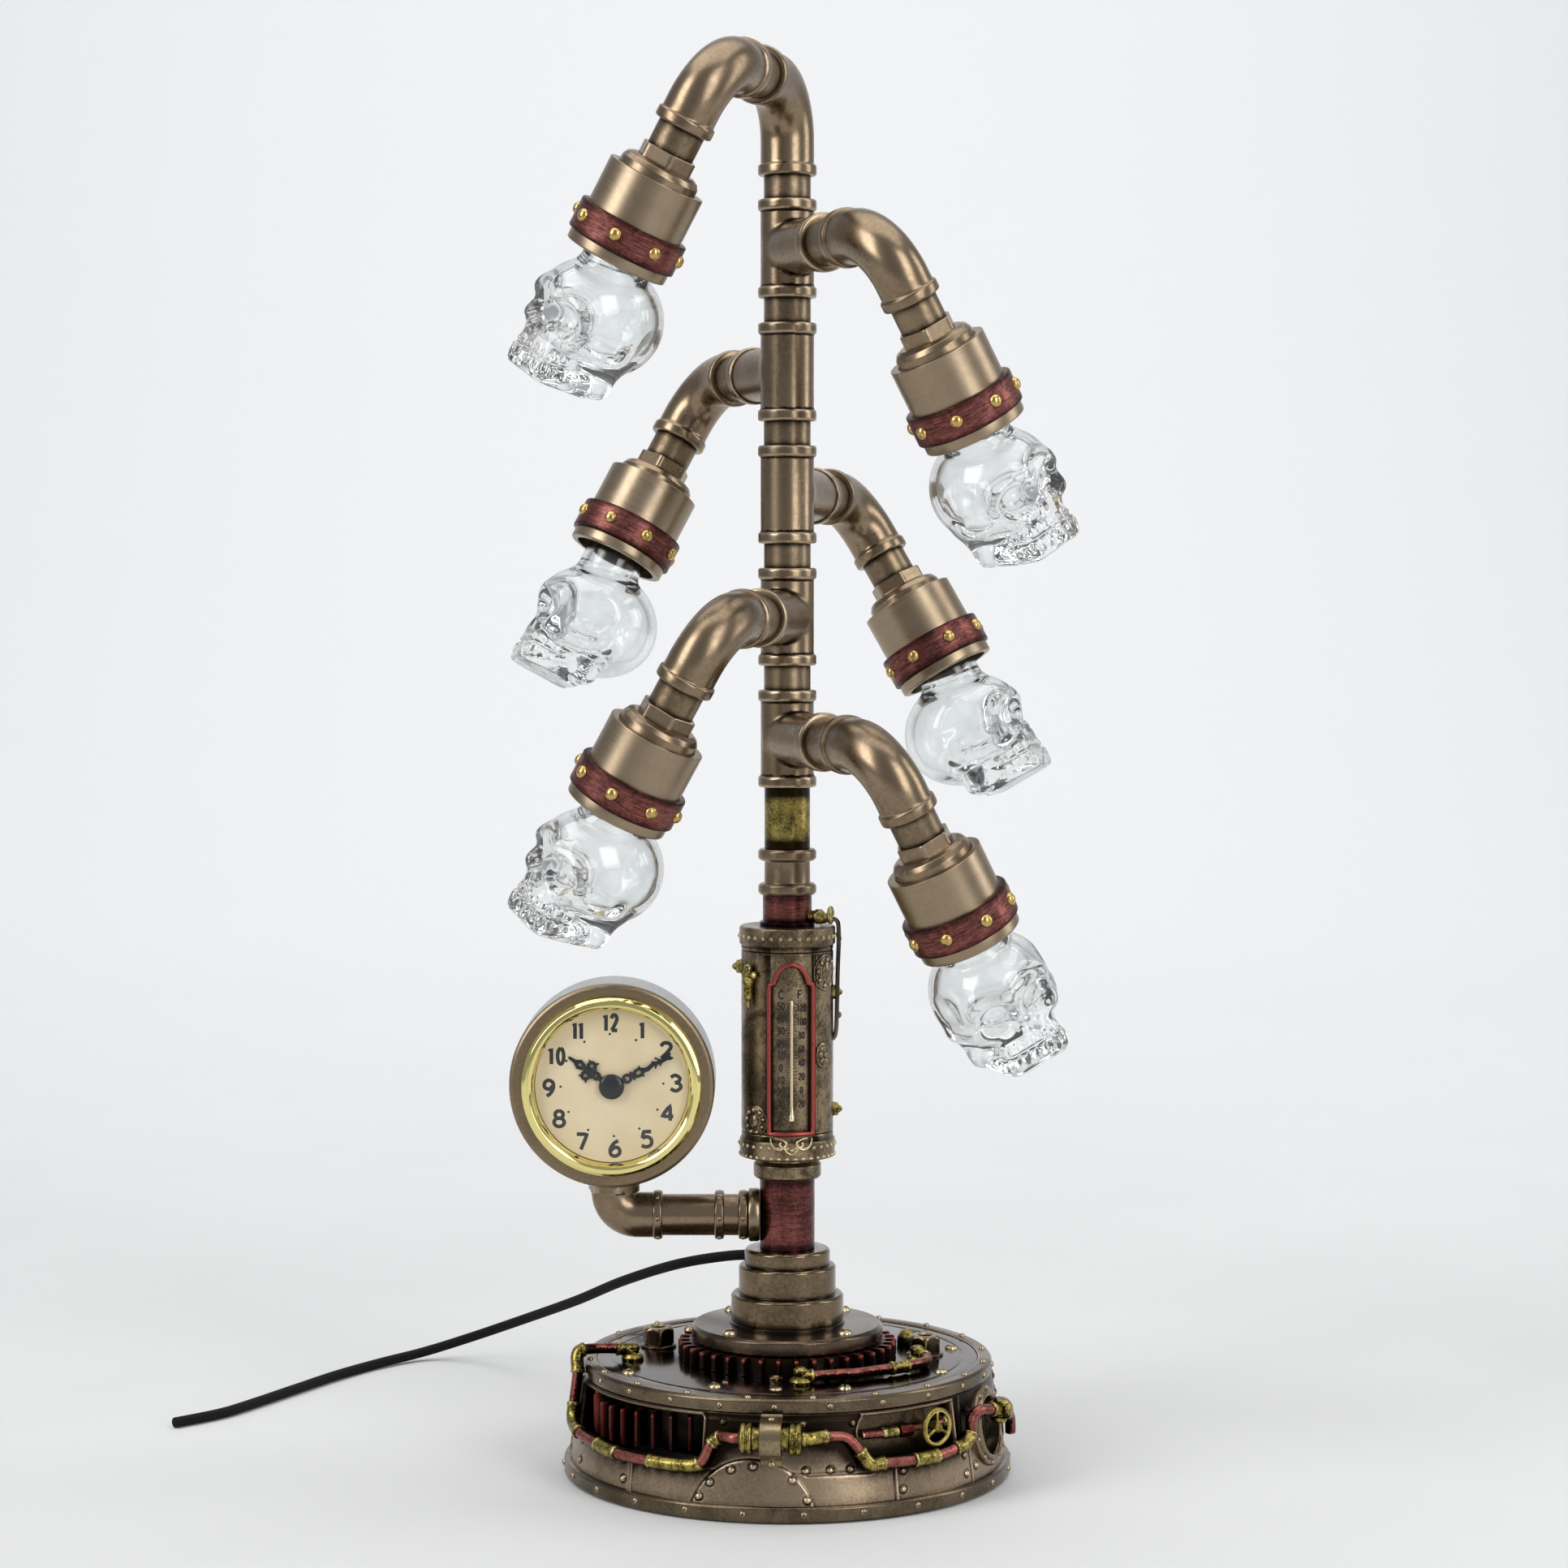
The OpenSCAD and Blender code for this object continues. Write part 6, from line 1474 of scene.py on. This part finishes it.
def slotted(r, h):
    """Two half domes with a slot between them."""
    half = []
    for s_ in (-1, 1):
        th = np.linspace(0, 2 * math.pi, 28, endpoint=False)
        lev = np.linspace(0, 1.25, 5)
        v_ = []
        for t in lev:
            x = r * math.cos(t * 0.95) * np.cos(th)
            y = r * math.cos(t * 0.95) * np.sin(th)
            y = np.where(s_ * y < 0.32, s_ * 0.32, y)
            v_.append(np.stack([x, y, np.full(28, h * math.sin(t))], 1))
        v_ = np.vstack(v_)
        j = np.arange(28)
        jn = (j + 1) % 28
        q_ = np.vstack([np.stack([a * 28 + j, a * 28 + jn, (a + 1) * 28 + jn, (a + 1) * 28 + j], 1) for a in range(4)])
        top = len(v_)
        v_ = np.vstack([v_, [[0, s_ * 0.6 * r, h], [0, s_ * 0.6 * r, 0]]])
        half.append(Part(v_, q_, np.vstack([np.stack([4 * 28 + j, 4 * 28 + jn, np.full(28, top)], 1), np.stack([jn, j, np.full(28, top + 1)], 1)])))
    disc_ = lathe([(0, -0.3), (r, -0.3), (r, 0.1), (0, 0.12)], 28)
    return joined(half + [disc_])


sc, sf = [], []
for k in range(4):
    a0 = 45 + 90 * k
    sf.append(slotted(2.9, 1.8).at(tr(32.0 * math.cos(math.radians(a0)), 32.0 * math.sin(math.radians(a0)), 58.9) @ rot("Z", 80 + 30 * k)))
for x, y, t in ((-62, -33, 0), (60, -31, 20), (66, 12, 10), (22, -60, 90), (-28, -57, 15), (8, 62, 0), (-40, 48, 30)):
    sf.append(slotted(2.6, 1.5).at(tr(x, y, 45.5) @ rot("Z", t)))
for x, y in ((-66, 11), (-63.2, 12.6), (-63.4, 8.6)):
    sc.append(domes([(V([x, y, 45.5]), V([0, 0, 1.0]))], 1.5, 1.2))
for x, y in ((-24, -50), (31, 55), (-31, 52)):
    sc.append(domes([(V([x, y, 45.5]), V([0, 0, 1.0]))], 1.3, 1.0))
def bored_nut(r, h, bore, top=1.5):
    """Hexagon nut: corners turned off at the top, a bored hole with a countersink."""
    ap = r * math.cos(math.pi / 6)

    def rf(th, k):
        w = (th + math.pi / 6) % (math.pi / 3) - math.pi / 6
        hx = ap / np.cos(w)
        return np.minimum(hx, [ap * 1.02, r, r, ap * 1.06, ap * 0.98, ap * 0.84, bore + 0.7, bore, bore][k])

    return polar(rf, [0, 0.6, h - top, h - top * 0.45, h - top * 0.12, h, h, h - 0.6, h - 3.0], 96)


for x, y, t in ((-52, 16, 10), (55, 0, 0)):
    m = tr(x, y, 45.5) @ rot("Z", t)
    sc.append(lathe(fillet([(0, 0), (7.3, 0, 0.1), (7.3, 0.8, 0.4), (6.6, 1.2, 0.2), (0, 1.2)], 3), 48).at(m))
    sc.append(bored_nut(6.7, 7.0, 2.7).at(m @ tr(0, 0, 1.2)))
sc.append(bored_nut(2.9, 2.3, 0.9, 0.5).at(tr(-4.5, -49.6, 45.5) @ rot("Z", 8)))
sf.append(slotted(2.5, 1.0).at(tr(-4.5, -61, 45.5) @ rot("Z", 12)))
make("base_bolts", joined(sc), M_NUT, nodes=("base_screws",))
make("slotted_screws", joined(sf), M_LIP)

# ------------------------------------------------------------------ base: porthole, recess and hand wheel
pf = lathe(fillet([(11.0, -6), (11.0, 1.2, 0.2), (11.5, 2.2, 0.4), (12.6, 2.6, 0.5), (13.4, 1.9, 0.4), (13.6, 1.2, 0.2), (15.0, 1.2, 0.3), (15.6, 0.6, 0.4), (15.6, -3.4), (12.1, -3.4), (12.1, -6)][::-1], 4), 72, closed=True)
pf = pf + domes([(V([14.4 * math.cos(t), 14.4 * math.sin(t), 1.1]), V([0, 0, 1.0])) for t in np.radians(np.arange(0, 360, 36) + 10)], 1.1, 0.9)
make("porthole_ring", pf.at(PORT_M), M_FIT, nodes=("porthole_frame",))
make("porthole_pane", lathe(fillet([(0, -5.6), (11.0, -5.6, 0.2), (11.0, -3.9, 0.5), (6, -3.2), (0, -2.9)], 3), 48).at(PORT_M), M_PANE, sharp=0)


def arc_bar(a0, a1, r, z, rad, n=14, prof=None):
    aa = np.linspace(a0, a1, n)
    return sweep(np.stack([bp(x, r, z) for x in aa]), rad if prof is None else prof, 20)


wall = sheet_of_revolution(lambda z: 78.2 + 0 * z, np.linspace(-180, 180, 720, endpoint=False), np.linspace(20.6, 39.7, 20), np.zeros((720, 20)), keep=np.repeat((np.abs(np.linspace(-180, 180, 720, endpoint=False) - 34) < 17.6)[:, None], 20, 1), inner=1.9)
make("recess_back_wall", wall, M_NUT, nodes=("handwheel_bracket",), sharp=0)
make("recess_stem_brass", joined([arc_bar(26.6, 31.4, 80.4, 30.9, None, 12, np.r_[1.9, 2.25, 2.3, np.full(6, 2.15), 2.3, 2.25, 1.9]), arc_bar(47.4, 49.4, 80.3, 31.2, None, 7, np.array([1.2, 2.0, 2.3, 2.35, 2.2, 1.6, 0.6]))]), M_BRASS)
make("recess_stem_copper", joined([arc_bar(20.6, 26.8, 80.4, 30.9, 1.6), arc_bar(36.2, 40.3, 80.3, 31.2, 1.25), arc_bar(43.7, 47.6, 80.3, 31.2, 1.25)]), M_COPPER)
hx = hex_nut(2.6, -3.0, 3.0, 0.5)
make("recess_stem_hex", hx.at(tr(*bp(34.0, 80.4, 30.9)) @ rot("Z", 34.0) @ rot("Y", 90)), M_DARKRED)

hw = [lathe(fillet([(5.7, 3.2), (6.0, 2.4, 0.5), (6.8, 2.2, 0.5), (7.6, 2.6, 0.4), (7.65, 3.5, 0.4), (7.0, 4.1, 0.5), (6.1, 4.0, 0.4)], 4), 72, closed=True)]
hw.append(lathe(fillet([(0, -14), (1.4, -14, 0.2), (1.4, 1.0, 0.2), (1.9, 1.4, 0.3), (1.9, 4.2, 0.5), (1.2, 4.9, 0.4), (0, 5.1)], 3), 28))
for a0 in (90, 210, 330):
    t = math.radians(a0)
    hw.append(sweep(V([[r_ * math.cos(t), r_ * math.sin(t), 3.2] for r_ in np.linspace(1.2, 6.4, 8)]), np.interp(np.linspace(0, 1, 8), [0, 0.5, 1], [0.85, 0.6, 0.8]), 14))
make("small_handwheel", joined(hw), M_WHEEL, body="handwheel", nodes=("handwheel",), m=WHEEL_M)

gl = lathe(fillet([(0, 12), (3.45, 12), (3.45, 18.8), (4.3, 18.8, 0.1), (4.6, 19.2, 0.3), (4.6, 21.4, 0.3), (4.2, 21.8, 0.1), (4.1, 22.6), (3.6, 22.9), (3.6, 23.5), (4.0, 23.8), (3.9, 24.6), (3.4, 24.9), (3.4, 25.5), (3.75, 25.8), (3.6, 26.6), (3.2, 26.9), (3.2, 27.5), (3.5, 27.8), (3.35, 29.4, 0.3), (2.8, 29.8, 0.2), (2.3, 29.8), (2.3, 28.0), (0, 27.9)], 3), 36)
make("ribbed_cord_gland", gl.at(tr(-4, 0, 77.5) @ rot("X", -90)), M_BLACK, nodes=("cord_gland",))

# ------------------------------------------------------------------ hidden pieces keep their construction shape and get a finish
def finish_node(node, mat):
    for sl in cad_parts[node].material_slots:
        sl.material = mat


N_IRON = metal("cast_iron", "#6a6a6c", "#39393b", "#9c9c9c", rough=(0.4, 0.6), blotch=0.1, fine=1.0, worn=False)
N_STEEL = metal("plain_steel", "#b9b9b6", "#77777a", "#e2e2e0", rough=(0.2, 0.35), blotch=0.15, fine=1.0, worn=False)
N_BRONZE = metal("plain_bronze", "#6f5d47", "#3a2e24", "#a9926d", rough=(0.3, 0.45), blotch=0.08, fine=0.8, worn=False)
for node, mat in (("base_floor_plate", N_BRONZE), ("felt_pad", M_FELT), ("ballast_disc", N_IRON), ("dimmer_switch", M_BLACK), ("led_driver", M_WHITE), ("wire_harness", M_WIRE),
                  ("led_modules", M_WHITE), ("skull_grips", M_RUBBER), ("clock_movement", M_BLACK), ("clock_battery", N_STEEL), ("time_set_knob", M_BLACK)):
    finish_node(node, mat)

# ------------------------------------------------------------------ finish: stage, lights
def stage():
    me = bpy.data.meshes.new("studio_floor")
    ys = np.r_[np.linspace(-3.0, 1.6, 12), 1.6 + 1.2 * np.sin(np.linspace(0.1, math.pi / 2, 14)), np.full(6, 2.8)]
    zs = np.r_[np.zeros(12), 1.2 - 1.2 * np.cos(np.linspace(0.1, math.pi / 2, 14)), np.linspace(1.4, 4.5, 6)]
    v, f = [], []
    for y, z in zip(ys, zs):
        v += [(-4, y, z - 0.00002), (4, y, z - 0.00002)]
    for k in range(len(ys) - 1):
        f.append((2 * k, 2 * k + 1, 2 * k + 3, 2 * k + 2))
    me.from_pydata(v, [], f)
    me.update()
    me.polygons.foreach_set("use_smooth", np.ones(len(f), bool))
    me.materials.append(floor_material("pale_floor"))
    o = bpy.data.objects.new("studio_floor", me)
    scene.collection.objects.link(o)

    world = bpy.data.worlds.new("studio")
    world.use_nodes = True
    world.node_tree.nodes["Background"].inputs[0].default_value = (0.9, 0.93, 1.0, 1)
    world.node_tree.nodes["Background"].inputs[1].default_value = 0.37
    scene.world = world

    def area(name, loc, target, sx, sy, power, col=(1, 1, 1)):
        d = bpy.data.lights.new(name, "AREA")
        d.shape = "RECTANGLE"
        d.size, d.size_y, d.energy, d.color = sx, sy, power, col
        ob = bpy.data.objects.new(name, d)
        ob.location = loc
        ob.rotation_euler = (Vector(target) - Vector(loc)).to_track_quat("-Z", "Y").to_euler()
        scene.collection.objects.link(ob)
        return ob

    area("key_left", (-1.5, -1.0, 1.3), (0, 0, 0.3), 0.9, 1.6, 24)
    area("fill_right", (1.05, -1.45, 0.95), (0, 0, 0.3), 0.8, 1.6, 16)
    area("side_right", (1.7, 0.1, 0.9), (0, 0, 0.3), 0.6, 1.5, 9)
    area("top", (0.0, 0.0, 2.0), (0, 0.1, 0.2), 2.2, 1.6, 21)
    area("back_wall", (0, 1.2, 2.3), (0, 2.8, 0.7), 3.0, 0.8, 21)


stage()
